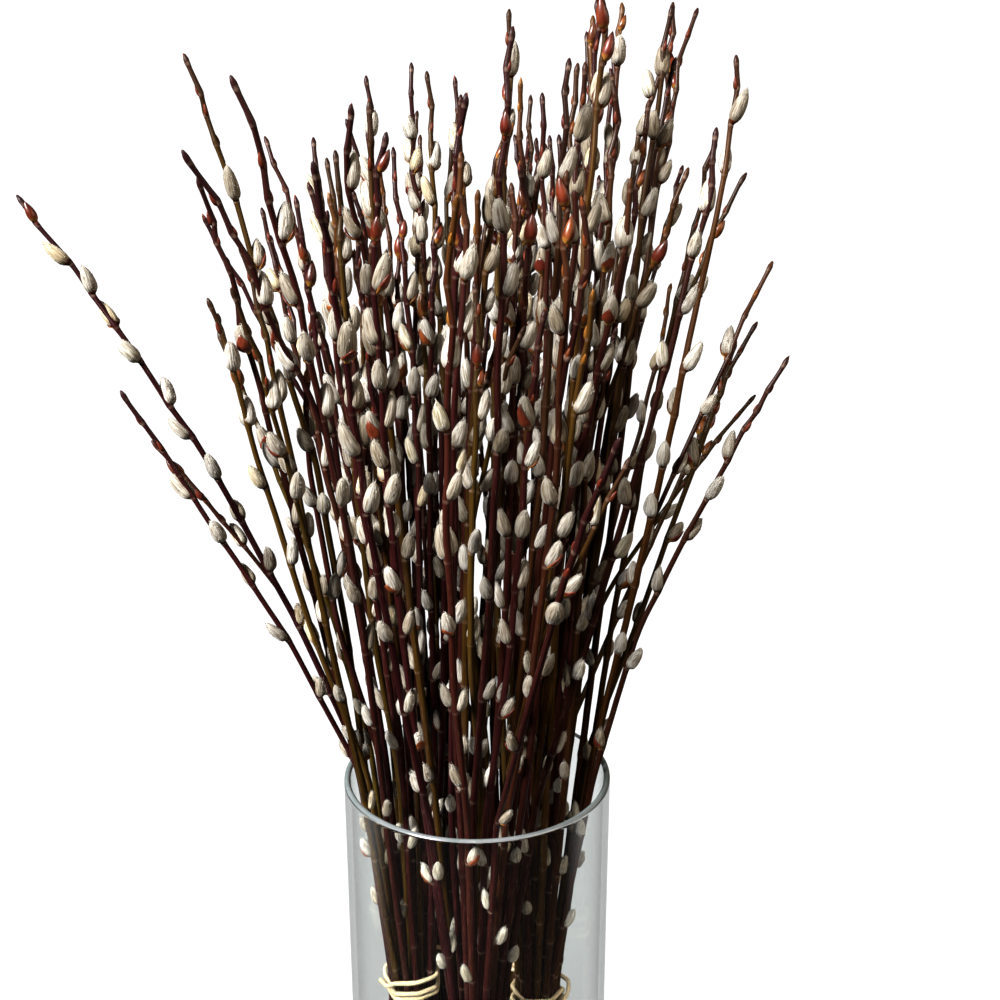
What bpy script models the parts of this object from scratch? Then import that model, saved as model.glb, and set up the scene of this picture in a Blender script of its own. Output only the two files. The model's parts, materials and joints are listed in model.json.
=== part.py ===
"""Pussy willow branches: five bunches, each bound with a rubber band, standing dry in a glass cylinder."""
import math
import random
from types import SimpleNamespace

import bmesh
import bpy
import numpy as np
from mathutils import Matrix, Vector

# Driving dimensions, in metres.
VASE_RADIUS = 0.075
VASE_HEIGHT = 0.255
VASE_WALL = 0.0035
VASE_FLOOR = 0.012
VASE_STEPS = 40
SEAT_GAP = 0.0005

TIE_HEIGHT = 0.114
ROD_RADIUS_AT_TIE = 0.0023
HEEL_RADIUS = 0.0026
TIP_RADIUS = 0.0010
FULL_LENGTH = 0.60
ROD_PITCH = 2 * ROD_RADIUS_AT_TIE + 0.00045
HEEL_SPREAD = 1.35
FORK_HEIGHT = 0.024

RIM_SPREAD = 2.5
RIM_FAN = 0.65
RIM_CLEARANCE = 0.0055
CROWN_SPREAD = 5.17
CROWN_SCATTER = 0.022
ROD_BENDS = (-0.20, 0.30)
ROD_WANDER = 0.009
ROD_GAPS = (0.0006, 0.0004, 0.0011)

SIDE_SHOOTS = 26
SIDE_SHOOT_GIRTH = 0.62
SIDE_SHOOT_ROOTS = (0.35, 0.44)
SIDE_SHOOT_RISE = 0.045
SIDE_SHOOT_HEIGHTS = (0.07, 0.15)
SIDE_SHOOT_SLOPES = (0.16, 0.30)

CATKIN_LENGTHS = (0.0115, 0.0158)
CATKIN_RADII = (0.0030, 0.0039)
CATKIN_GROWTH = (0.28, 0.46)
CATKIN_LEAN = 0.38
CATKIN_SINK = 0.0020
CATKIN_WAIST = 0.45
CATKIN_GAP = 0.0005
CATKIN_SPACING = (0.019, 0.036)
BARE_TIP = (0.028, 0.085)
LOWEST_CATKIN = 0.155
DIVERGENCE = math.radians(137.5)
MODELLED_CATKINS = 5
CATKIN_STATIONS = np.array([0.30, 0.48, 0.66, 0.84, 1.0])
CATKIN_BULGES = np.array([0.85, 1.0, 0.88, 0.60, 0.25])
ASIDES = (0, 0.5, -0.5, 1.0, -1.0, 1.6, -1.6, 2.3, -2.3, math.pi)
DENSE_ABOVE = 0.44
HEIGHT_STEP = 0.002

BAND_RADIUS = 0.0013
BAND_GAP = 0.0005
BAND_CORNERS = 12
BAND_DROPS = (0.0080, 0.0034)

# Heights at which every rod has a ring: its heel, the tie, the vase's rim, then evenly up the crown.
LEVELS = np.array([VASE_FLOOR + SEAT_GAP, TIE_HEIGHT, VASE_HEIGHT, 0.34, 0.43, 0.52, 0.61, 0.70])
SEED = 11

# Each bunch: its rods, the middle of its tie, its band's upper turn and the side the band crosses itself on,
# the middle of its crown and the heights of the tips there, and the tips that stand out of the crown.
BUNCHES = {
    "left": SimpleNamespace(
        rods=24, tie=(-0.040, 0.003), band=0.124, crossing=200, crown=(-0.087, -0.009), tips=(0.511, 0.632),
        heads=((-0.227, 0.000, 0.568), (-0.180, -0.020, 0.473), (-0.137, 0.000, 0.633),
               (-0.085, -0.120, 0.603), (-0.125, -0.035, 0.573), (-0.150, 0.035, 0.508))),
    "right": SimpleNamespace(
        rods=22, tie=(0.036, 0.003), band=0.111, crossing=-20, crown=(0.071, 0.016), tips=(0.535, 0.672),
        heads=((0.060, 0.000, 0.658), (0.078, 0.030, 0.663), (0.107, 0.050, 0.668), (0.133, 0.000, 0.633),
               (0.128, 0.045, 0.598), (0.150, 0.050, 0.503), (0.166, -0.005, 0.488))),
    "front": SimpleNamespace(
        rods=20, tie=(0.000, -0.038), band=0.107, crossing=-60, crown=(0.022, -0.084), tips=(0.504, 0.635),
        heads=((-0.050, -0.150, 0.568), (-0.047, -0.060, 0.603), (0.015, -0.080, 0.628),
               (0.049, -0.195, 0.478), (0.113, -0.050, 0.593))),
    "rear_left": SimpleNamespace(
        rods=22, tie=(-0.022, 0.042), band=0.118, crossing=110, crown=(-0.032, 0.099), tips=(0.515, 0.640),
        heads=((-0.066, 0.080, 0.638), (-0.043, 0.100, 0.648), (-0.019, 0.120, 0.613),
               (-0.009, 0.050, 0.623), (-0.130, 0.140, 0.553))),
    "rear_right": SimpleNamespace(
        rods=20, tie=(0.024, 0.041), band=0.114, crossing=60, crown=(0.040, 0.100), tips=(0.560, 0.676),
        heads=((0.120, 0.100, 0.678), (0.123, 0.120, 0.523), (0.165, 0.100, 0.488), (0.176, 0.125, 0.453),
               (0.045, 0.100, 0.608), (0.100, 0.080, 0.653), (0.080, 0.180, 0.593))),
}


def hex_cluster(count):
    """The points of a hexagonal packing nearest a point beside its middle, in rod pitches."""
    points = []
    for row in range(-4, 5):
        for column in range(-4, 5):
            points.append((column + 0.5 * (row % 2) - 0.3, row * math.sqrt(0.75) - 0.2))
    return sorted(points, key=lambda point: math.hypot(*point))[:count]


def neighbour_pairs(points):
    """Pairs of touching rods that use every rod once, with the most hemmed-in rod paired first."""
    free = set(range(len(points)))

    def rank(i):
        beside = [j for j in free if j != i and math.dist(points[i], points[j]) < 1.1]
        return len(beside), -math.hypot(*points[i])

    pairs = []
    while free:
        first = min(sorted(free), key=rank)
        beside = [j for j in sorted(free) if j != first and math.dist(points[first], points[j]) < 1.1]
        second = min(beside, key=rank)
        pairs.append((first, second))
        free -= {first, second}
    return pairs


def tips_of(bunch, offsets, rng):
    """A tip for each rod: those that stand out go to the rods on their side, and the rest fan out evenly."""
    tips = {}
    crown = np.array(bunch.crown)
    reach = [(math.dist(head[:2], crown + CROWN_SPREAD * offset), h, i)
             for h, head in enumerate(bunch.heads) for i, offset in enumerate(offsets)]
    given = set()
    for _, h, i in sorted(reach):
        if h not in given and i not in tips:
            tips[i] = np.array(bunch.heads[h])
            given.add(h)
    for i, offset in enumerate(offsets):
        if i not in tips:
            place = crown + CROWN_SPREAD * rng.uniform(0.7, 1.1) * offset
            place += np.array([rng.uniform(-CROWN_SCATTER, CROWN_SCATTER) for _ in range(2)])
            tips[i] = np.array([*place, rng.uniform(*bunch.tips)])
    return tips


def rod_path(bunch, offset, tip, rng):
    """Points at the levels: up from the tie, held inside the rim, then with a slight bend out to the tip."""
    path = np.zeros((len(LEVELS), 2))
    tie = np.array(bunch.tie) + offset
    share = (VASE_HEIGHT - TIE_HEIGHT) / (tip[2] - TIE_HEIGHT)
    straight = tie + (tip[:2] - tie) * share
    fanned = np.array(bunch.tie) * 1.12 + RIM_SPREAD * offset
    rim = (1 - RIM_FAN) * straight + RIM_FAN * fanned
    limit = VASE_RADIUS - VASE_WALL - RIM_CLEARANCE
    rim *= min(1.0, limit / np.linalg.norm(rim))
    bend = rng.uniform(*ROD_BENDS)
    wander = np.array([rng.uniform(-ROD_WANDER, ROD_WANDER) for _ in range(2)])
    path[1], path[2] = tie, rim
    for k in range(3, len(LEVELS)):
        u = (LEVELS[k] - VASE_HEIGHT) / (tip[2] - VASE_HEIGHT)
        reach = u if u > 1 else u * (1 - bend) + bend * u * u
        path[k] = rim + (tip[:2] - rim) * reach + wander * math.sin(math.pi * min(u, 1))
    return path


def make_shoots(rng):
    """Every rod as its centre at each level. Two touching rods make a branch, forked near its heel."""
    shoots = []
    branch = 0
    for name, bunch in BUNCHES.items():
        points = hex_cluster(bunch.rods)
        offsets = [np.array(point) * ROD_PITCH for point in points]
        tips = tips_of(bunch, offsets, rng)
        for pair in neighbour_pairs(points):
            branch += 1
            for order, i in enumerate(pair):
                path = rod_path(bunch, offsets[i], tips[i], rng)
                path[0] = np.array(bunch.tie) + HEEL_SPREAD * offsets[pair[0]]
                shoots.append(SimpleNamespace(
                    branch=branch, bunch=name, parent=len(shoots) - 1 if order else None,
                    root=FORK_HEIGHT if order else LEVELS[0], tip=tips[i][2], path=path,
                    girth=rng.uniform(0.88, 1.0)))
    return shoots


def add_side_shoots(shoots, rng):
    """Thin shoots that leave a rod in the crown."""
    rods = list(range(len(shoots)))
    rng.shuffle(rods)
    added = 0
    for index in rods:
        rod = shoots[index]
        root = rng.choice(SIDE_SHOOT_ROOTS) + rng.uniform(0.0, SIDE_SHOOT_RISE)
        tip = root + rng.uniform(*SIDE_SHOOT_HEIGHTS)
        if added == SIDE_SHOOTS or tip > rod.tip + 0.01:
            continue
        k = int(np.searchsorted(LEVELS, root))
        turn = rng.choice((-1, 1)) * rng.uniform(0.3, 1.3)
        heading = math.atan2(rod.path[k][1], rod.path[k][0]) + turn
        slope = (rod.path[k] - rod.path[k - 1]) / (LEVELS[k] - LEVELS[k - 1])
        slope += rng.uniform(*SIDE_SHOOT_SLOPES) * np.array([math.cos(heading), math.sin(heading)])
        path = rod.path.copy()
        path[k - 1:] = centre(rod, root) + slope * (LEVELS[k - 1:, None] - root)
        shoots.append(SimpleNamespace(
            branch=rod.branch, bunch=rod.bunch, parent=index, root=root, tip=tip, path=path,
            girth=SIDE_SHOOT_GIRTH))
        added += 1


def centre(shoot, z):
    """The shoot's centre at a height, straight between its rings."""
    return np.array([np.interp(z, LEVELS, shoot.path[:, 0]), np.interp(z, LEVELS, shoot.path[:, 1])])


def radius(shoot, z):
    """A rod narrows a little from its heel to the tie, and then to its tip."""
    tied = ROD_RADIUS_AT_TIE * shoot.girth
    if z <= TIE_HEIGHT:
        heel = HEEL_RADIUS if shoot.parent is None else 0.8 * HEEL_RADIUS
        return heel + (tied - heel) * (z - LEVELS[0]) / (TIE_HEIGHT - LEVELS[0])
    down = max(shoot.tip - z, 0) / (FULL_LENGTH - TIE_HEIGHT)
    return min(tied, TIP_RADIUS + (tied - TIP_RADIUS) * down ** 0.8)


def part_shoots(shoots, rounds=400):
    """Moves rods aside, level by level, until none comes nearer another than its gap."""
    first, second = np.triu_indices(len(shoots), 1)
    gaps = np.array([*ROD_GAPS[:2], *[ROD_GAPS[2]] * (len(LEVELS) - 2)])
    radii = np.array([[radius(s, max(z, s.root)) for z in LEVELS] for s in shoots])
    path = np.array([s.path for s in shoots])
    home = path.copy()
    roots, tips = np.array([s.root for s in shoots]), np.array([s.tip for s in shoots])
    parents = np.array([-1 if s.parent is None else s.parent for s in shoots])
    branch = np.array([s.branch for s in shoots])
    root_level = np.searchsorted(LEVELS, roots, side="right") - 1
    related = (parents[first] == second) | (parents[second] == first)
    related |= (parents[first] == parents[second]) & (parents[first] >= 0)
    young = np.maximum(root_level[first], root_level[second])
    for turn in range(rounds):
        worst = 0.0
        move = np.zeros_like(path)
        for k in range(len(LEVELS) - 1):
            low, high = LEVELS[k], LEVELS[k + 1]
            start = np.clip((roots - low) / (high - low), 0, 1)
            end = np.clip((tips - low) / (high - low), 0, 1)
            a = np.maximum(start[first], start[second])
            b = np.minimum(end[first], end[second])
            live = (b > a) & ~(related & (young == k))
            if k == 0:
                live &= branch[first] != branch[second]
            i, j, a, b = first[live], second[live], a[live], b[live]
            apart = path[i, k] - path[j, k]
            change = path[i, k + 1] - path[j, k + 1] - apart
            t = np.clip(-(apart * change).sum(1) / np.maximum((change ** 2).sum(1), 1e-12), a, b)
            away = apart + change * t[:, None]
            distance = np.maximum(np.linalg.norm(away, axis=1), 1e-6)
            below = radii[i, k] + radii[j, k] + gaps[k]
            above = radii[i, k + 1] + radii[j, k + 1] + gaps[k + 1]
            short = below * (1 - t) + above * t - distance
            bad = short > 0
            if not bad.any():
                continue
            worst = max(worst, float(short[bad].max()))
            step = away[bad] / distance[bad, None] * (short[bad] * 0.5 + 2e-5)[:, None]
            for rods, sign in ((i[bad], 1), (j[bad], -1)):
                np.add.at(move[:, k], rods, sign * step * (1 - t[bad])[:, None])
                np.add.at(move[:, k + 1], rods, sign * step * t[bad][:, None])
        path += move
        if turn < rounds * 0.6:
            path[:, 1:] += 0.03 * (home[:, 1:] - path[:, 1:])
        for k in (0, 2):
            reach = np.linalg.norm(path[:, k], axis=1)
            limit = VASE_RADIUS - VASE_WALL - radii[:, k] - 0.0012
            over = reach > limit
            path[over, k] *= (limit / reach)[over, None]
        for n in np.flatnonzero(parents >= 0):
            k, parent = root_level[n], parents[n]
            u = (roots[n] - LEVELS[k]) / (LEVELS[k + 1] - LEVELS[k])
            start = path[parent, k] * (1 - u) + path[parent, k + 1] * u
            path[n, k] = (start - u * path[n, k + 1]) / (1 - u)
        if worst < 5e-5 and turn > rounds * 0.6:
            break
    for shoot, placed in zip(shoots, path):
        shoot.path = placed


def catkin_at(shoot, z, turn, length, girth):
    """A catkin rooted in the shoot at a height and leaning out on the side it's turned to."""
    base = np.array([*centre(shoot, z), z])
    rise = np.array([*centre(shoot, z + 0.01), z + 0.01]) - base
    rise /= np.linalg.norm(rise)
    side = np.array([math.cos(turn), math.sin(turn), 0])
    side -= rise * (side @ rise)
    side /= np.linalg.norm(side)
    axis = rise * math.cos(CATKIN_LEAN) + side * math.sin(CATKIN_LEAN)
    root = base + side * 0.8 * radius(shoot, z) - axis * CATKIN_SINK
    return SimpleNamespace(root=root, axis=axis, side=side, length=length, radius=girth, z=z, turn=turn)


def place_catkins(shoots, rng):
    """Catkins up each shoot in a spiral, sparser below. One with no room on any side is left off."""
    heights = np.arange(LOWEST_CATKIN, LEVELS[-1] + 0.02, HEIGHT_STEP)
    lines = np.array([[np.interp(heights, LEVELS, s.path[:, 0]), np.interp(heights, LEVELS, s.path[:, 1])]
                      for s in shoots])
    thick = np.array([[radius(s, z) if s.root - 0.004 < z < s.tip + 0.003 else -1.0 for z in heights]
                      for s in shoots])
    taken, sizes, catkins = np.zeros((0, 3)), np.zeros(0), []

    def clear(index, catkin):
        points = catkin.root + catkin.axis * (CATKIN_STATIONS * catkin.length)[:, None]
        bulge = CATKIN_BULGES * catkin.radius + CATKIN_GAP
        inside = points[:, 2] < VASE_HEIGHT + 0.006
        wall = VASE_RADIUS - VASE_WALL - bulge
        if (inside & (np.hypot(points[:, 0], points[:, 1]) > wall)).any():
            return False
        level = np.clip(((points[:, 2] - heights[0]) / HEIGHT_STEP).round().astype(int), 0, len(heights) - 1)
        gap = np.hypot(lines[:, 0, level] - points[:, 0], lines[:, 1, level] - points[:, 1])
        near = (gap * 0.97 < thick[:, level] + bulge) & (thick[:, level] > 0)
        near[index] = False
        if near.any():
            return False
        if not len(taken):
            return True
        apart = np.linalg.norm(taken[:, None] - points[None], axis=2)
        return not (apart < sizes[:, None] + bulge[None]).any()

    for index, shoot in enumerate(shoots):
        spacing = rng.uniform(*CATKIN_SPACING)
        z = shoot.tip - rng.uniform(*BARE_TIP)
        turn = rng.uniform(0, 2 * math.pi)
        lowest = max(LOWEST_CATKIN, shoot.root + 0.018)
        number = 0
        while z > lowest:
            length = CATKIN_SINK + np.interp(z, CATKIN_GROWTH, CATKIN_LENGTHS) * rng.uniform(0.85, 1.12)
            girth = np.interp(z, CATKIN_GROWTH, CATKIN_RADII) * rng.uniform(0.87, 1.08)
            for aside in ASIDES:
                catkin = catkin_at(shoot, z, turn + aside, length, girth)
                if clear(index, catkin):
                    catkin.shoot, catkin.modelled = index, number % MODELLED_CATKINS == 0
                    number += 1
                    catkins.append(catkin)
                    points = catkin.root + catkin.axis * (CATKIN_STATIONS * length)[:, None]
                    taken = np.concatenate([taken, points])
                    sizes = np.concatenate([sizes, CATKIN_BULGES * girth])
                    break
            turn += DIVERGENCE + rng.uniform(-0.35, 0.35)
            sparser = 1 + 8.8 * max(0.0, DENSE_ABOVE - z)
            z -= spacing * sparser * rng.uniform(0.8, 1.25)
    return catkins


def band_corner(rods, z, angle, half, reach):
    """Where two straight lines laid against the rods, each turned half a step from this angle, cross."""
    lines = []
    for turned in (angle - half, angle + half):
        out = np.array([math.cos(turned), math.sin(turned)])
        lines.append((out, max(centre(rod, z) @ out + radius(rod, z) for rod in rods) + reach))
    return np.linalg.solve([out for out, _ in lines], [distance for _, distance in lines])


def band_path(bunch, rods):
    """A rubber band three times round its bunch, one turn above two, and back up across the outside."""
    turns = 3
    count = turns * BAND_CORNERS
    step = 360 / BAND_CORNERS
    heights = [bunch.band, bunch.band - BAND_DROPS[0], bunch.band - sum(BAND_DROPS), bunch.band]
    points = []
    for n in range(count):
        turn, corner = divmod(n, BAND_CORNERS)
        crossing = max(0, corner - (BAND_CORNERS - 2)) / 2
        z = heights[turn] + (heights[turn + 1] - heights[turn]) * crossing
        lifted = n == 0 or n >= count - 2
        angle = math.radians(bunch.crossing + step * (corner + 1))
        reach = BAND_GAP + BAND_RADIUS + (2 * BAND_RADIUS + 2 * BAND_GAP if lifted else 0)
        points.append((*band_corner(rods, z, angle, math.radians(step / 2), reach), z))
    return points


def clear_scene():
    for obj in list(bpy.data.objects):
        bpy.data.objects.remove(obj, do_unlink=True)


def add_collection(name):
    collection = bpy.data.collections.new(name)
    bpy.context.scene.collection.children.link(collection)
    return collection


def add_material(name, colour, roughness, transmission=0.0):
    material = bpy.data.materials.new(name)
    material.use_nodes = True
    shader = material.node_tree.nodes["Principled BSDF"]
    shader.inputs["Base Color"].default_value = (*colour, 1)
    shader.inputs["Roughness"].default_value = roughness
    shader.inputs["Transmission Weight"].default_value = transmission
    material.diffuse_color = (*colour, 1)
    return material


def add_tube(name, points, radii, collection, closed=False):
    """A four-sided tube along the points, as a mesh whose caps are welded on."""
    origin = Vector(points[0])
    curve = bpy.data.curves.new(name, "CURVE")
    curve.dimensions = "3D"
    curve.bevel_depth = 1.0
    curve.bevel_resolution = 0
    curve.use_fill_caps = not closed
    spline = curve.splines.new("POLY")
    spline.points.add(len(points) - 1)
    spline.use_cyclic_u = closed
    for point, place, thickness in zip(spline.points, points, radii):
        point.co = (*(Vector(place) - origin), 1)
        point.radius = thickness
    guide = bpy.data.objects.new(name + "_guide", curve)
    guide.location = origin
    collection.objects.link(guide)
    bpy.context.view_layer.update()
    mesh = bpy.data.meshes.new_from_object(guide)
    body = bmesh.new()
    body.from_mesh(mesh)
    bmesh.ops.remove_doubles(body, verts=body.verts, dist=1e-5)
    bmesh.ops.recalc_face_normals(body, faces=body.faces)
    body.to_mesh(mesh)
    body.free()
    obj = bpy.data.objects.new(name, mesh)
    obj.matrix_world = guide.matrix_world
    collection.objects.link(obj)
    bpy.data.objects.remove(guide)
    bpy.data.curves.remove(curve)
    return obj


def add_catkin(name, catkin, collection):
    """A four-sided spindle with one flat towards its rod."""
    mesh = bpy.data.meshes.new(name)
    body = bmesh.new()
    bmesh.ops.create_uvsphere(body, u_segments=4, v_segments=2, radius=1)
    for vertex in body.verts:
        vertex.co.z = CATKIN_WAIST if abs(vertex.co.z) < 0.5 else (vertex.co.z + 1) / 2
    body.to_mesh(mesh)
    body.free()
    across = np.cross(catkin.axis, catkin.side)
    across /= np.linalg.norm(across)
    beside = np.cross(across, catkin.axis)
    corner, next_corner = (beside + across) / math.sqrt(2), (across - beside) / math.sqrt(2)
    turned = Matrix(np.array([corner, next_corner, catkin.axis]).T.tolist()).to_4x4()
    size = Matrix.Diagonal((catkin.radius, catkin.radius, catkin.length, 1))
    obj = bpy.data.objects.new(name, mesh)
    obj.matrix_world = Matrix.Translation(Vector(catkin.root)) @ turned @ size
    collection.objects.link(obj)
    return obj


def unite(target, helpers):
    """Joins a collection's objects to the target and removes them."""
    modifier = target.modifiers.new("join", "BOOLEAN")
    modifier.operation = "UNION"
    modifier.operand_type = "COLLECTION"
    modifier.collection = helpers
    modifier.solver = "EXACT"
    bpy.context.view_layer.update()
    mesh = bpy.data.meshes.new_from_object(target.evaluated_get(bpy.context.evaluated_depsgraph_get()))
    target.modifiers.clear()
    target.data = mesh
    for obj in list(helpers.objects):
        bpy.data.objects.remove(obj, do_unlink=True)


def add_branch(number, shoots, catkins, collection, helpers, bark):
    """One branch: its first rod, then everything that grows from it, joined into one body."""
    name = f"branch_{number:02d}"
    own = [i for i, s in enumerate(shoots) if s.branch == number]
    branch = None
    for i in own:
        shoot = shoots[i]
        heights = [shoot.root, *[z for z in LEVELS if shoot.root + 0.012 < z < shoot.tip - 0.012], shoot.tip]
        points = [(*centre(shoot, z), z) for z in heights]
        radii = [radius(shoot, z) for z in heights]
        home = helpers if branch else collection
        rod = add_tube(name if not branch else f"{name}_shoot_{i}", points, radii, home)
        branch = branch or rod
    for n, catkin in enumerate(catkins):
        if catkin.modelled and catkin.shoot in own:
            add_catkin(f"{name}_catkin_{n}", catkin, helpers)
    unite(branch, helpers)
    branch.data.materials.clear()
    branch.data.materials.append(bark)
    return branch


def add_vase(collection, glass):
    """The cylinder: its outline turned round the upright axis."""
    outer, inner, top = VASE_RADIUS, VASE_RADIUS - VASE_WALL, VASE_HEIGHT
    outline = [
        (0, 0), (outer - 0.002, 0), (outer, 0.002), (outer, top - 0.001), (outer - 0.001, top),
        (inner + 0.001, top), (inner, top - 0.001), (inner, VASE_FLOOR + 0.002),
        (inner - 0.0025, VASE_FLOOR), (0, VASE_FLOOR),
    ]
    mesh = bpy.data.meshes.new("vase")
    points = [(r, 0, z) for r, z in reversed(outline)]
    mesh.from_pydata(points, [(i, i + 1) for i in range(len(points) - 1)], [])
    vase = bpy.data.objects.new("vase", mesh)
    collection.objects.link(vase)
    screw = vase.modifiers.new("turn", "SCREW")
    screw.axis = "Z"
    screw.steps = VASE_STEPS
    screw.render_steps = VASE_STEPS
    screw.use_merge_vertices = True
    screw.merge_threshold = 0.0001
    screw.use_smooth_shade = True
    mesh.materials.append(glass)
    return vase


def build():
    clear_scene()
    willow = add_collection("pussy_willow_branches")
    helpers = add_collection("helpers")
    helpers.hide_render = True
    glass = add_material("clear_glass", (0.80, 0.90, 0.87), 0.03, 0.9)
    rubber = add_material("cream_rubber", (0.72, 0.62, 0.42), 0.55)
    shoots = make_shoots(random.Random(SEED))
    add_side_shoots(shoots, random.Random(SEED + 1))
    part_shoots(shoots)
    catkins = place_catkins(shoots, random.Random(SEED + 2))
    tint = random.Random(SEED + 3)
    for number in range(1, shoots[-1 - SIDE_SHOOTS].branch + 1):
        bark = add_material(f"bark_{number:02d}", (0.16 + 0.06 * tint.random(), 0.045, 0.04), 0.35)
        add_branch(number, shoots, catkins, willow, helpers, bark)
    for name, bunch in BUNCHES.items():
        rods = [s for s in shoots if s.bunch == name and s.root < TIE_HEIGHT]
        points = band_path(bunch, rods)
        band = add_tube(f"band_{name}", points, [BAND_RADIUS] * len(points), willow, closed=True)
        band.data.materials.append(rubber)
        for face in band.data.polygons:
            face.use_smooth = True
    add_vase(willow, glass)


build()
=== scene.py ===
"""The look of the pussy willow branches: bark, buds, silky catkins, rubber bands and the glass cylinder."""
import json
import math
import random
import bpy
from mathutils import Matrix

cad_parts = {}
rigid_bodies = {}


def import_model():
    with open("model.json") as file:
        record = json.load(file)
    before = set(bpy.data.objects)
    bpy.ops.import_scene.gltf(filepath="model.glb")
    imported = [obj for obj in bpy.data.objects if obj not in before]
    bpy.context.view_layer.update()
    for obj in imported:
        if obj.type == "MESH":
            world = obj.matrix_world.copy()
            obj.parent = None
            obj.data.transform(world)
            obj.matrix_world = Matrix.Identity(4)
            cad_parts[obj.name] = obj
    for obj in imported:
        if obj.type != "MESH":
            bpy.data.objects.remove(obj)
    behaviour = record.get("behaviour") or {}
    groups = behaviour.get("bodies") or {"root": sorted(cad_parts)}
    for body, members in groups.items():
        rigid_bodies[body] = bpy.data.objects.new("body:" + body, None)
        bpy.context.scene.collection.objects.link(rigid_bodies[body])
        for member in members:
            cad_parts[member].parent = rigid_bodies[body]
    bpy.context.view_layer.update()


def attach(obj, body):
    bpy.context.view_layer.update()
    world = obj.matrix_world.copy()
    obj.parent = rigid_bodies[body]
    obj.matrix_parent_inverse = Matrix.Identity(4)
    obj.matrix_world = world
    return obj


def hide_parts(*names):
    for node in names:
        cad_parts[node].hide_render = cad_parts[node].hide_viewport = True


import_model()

from types import SimpleNamespace

import bpy
import numpy as np

# Driving dimensions, in metres.
VASE_RADIUS = 0.075
VASE_HEIGHT = 0.255
VASE_WALL = 0.0035
VASE_FLOOR = 0.012
SEAT_GAP = 0.0005

TIE_HEIGHT = 0.114
ROD_RADIUS_AT_TIE = 0.0023
HEEL_RADIUS = 0.0026
TIP_RADIUS = 0.001
FULL_LENGTH = 0.6
ROD_PITCH = 2 * ROD_RADIUS_AT_TIE + 0.00045
HEEL_SPREAD = 1.35
FORK_HEIGHT = 0.024

RIM_SPREAD = 2.5
RIM_FAN = 0.65
RIM_CLEARANCE = 0.0055
CROWN_SPREAD = 5.17
CROWN_SCATTER = 0.022
ROD_BENDS = (-0.2, 0.3)
ROD_WANDER = 0.009
ROD_GAPS = (0.0006, 0.0004, 0.0011)

SIDE_SHOOTS = 26
SIDE_SHOOT_GIRTH = 0.62
SIDE_SHOOT_ROOTS = (0.35, 0.44)
SIDE_SHOOT_RISE = 0.045
SIDE_SHOOT_HEIGHTS = (0.07, 0.15)
SIDE_SHOOT_SLOPES = (0.16, 0.3)

CATKIN_LENGTHS = (0.0115, 0.0158)
CATKIN_RADII = (0.003, 0.0039)
CATKIN_GROWTH = (0.28, 0.46)
CATKIN_LEAN = 0.38
CATKIN_SINK = 0.002
CATKIN_GAP = 0.0005
CATKIN_SPACING = (0.019, 0.036)
BARE_TIP = (0.028, 0.085)
LOWEST_CATKIN = 0.155
DIVERGENCE = math.radians(137.5)
MODELLED_CATKINS = 5
CATKIN_STATIONS = np.array([0.3, 0.48, 0.66, 0.84, 1.0])
CATKIN_BULGES = np.array([0.85, 1.0, 0.88, 0.6, 0.25])
ASIDES = (0, 0.5, -0.5, 1.0, -1.0, 1.6, -1.6, 2.3, -2.3, math.pi)
DENSE_ABOVE = 0.44
HEIGHT_STEP = 0.002

BAND_RADIUS = 0.0013
BAND_GAP = 0.0005
BAND_CORNERS = 12
BAND_DROPS = (0.008, 0.0034)

PACKING_MIDDLE = (0.3, 0.2)
TOUCHING = 1.1
FAN_SHARES = (0.7, 1.1)
RIM_PUSH = 1.12
GIRTHS = (0.88, 1.0)
PARTING_ROUNDS = 400
HOMING_ROUNDS = 240
HOMING = 0.03
SETTLED = 5e-5
WALL_GAP = 0.0012
SPARSER_BELOW = 8.8
LENGTH_SCATTER, GIRTH_SCATTER = (0.85, 1.12), (0.87, 1.08)
SPACING_SCATTER, SPIRAL_SCATTER = (0.8, 1.25), 0.35
CATKIN_SEAT = 0.8

# Heights at which every rod has a ring: its heel, the tie, the vase's rim, then evenly up the crown.
LEVELS = np.array([VASE_FLOOR + SEAT_GAP, TIE_HEIGHT, VASE_HEIGHT, 0.34, 0.43, 0.52, 0.61, 0.7])
SEED = 11

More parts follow.
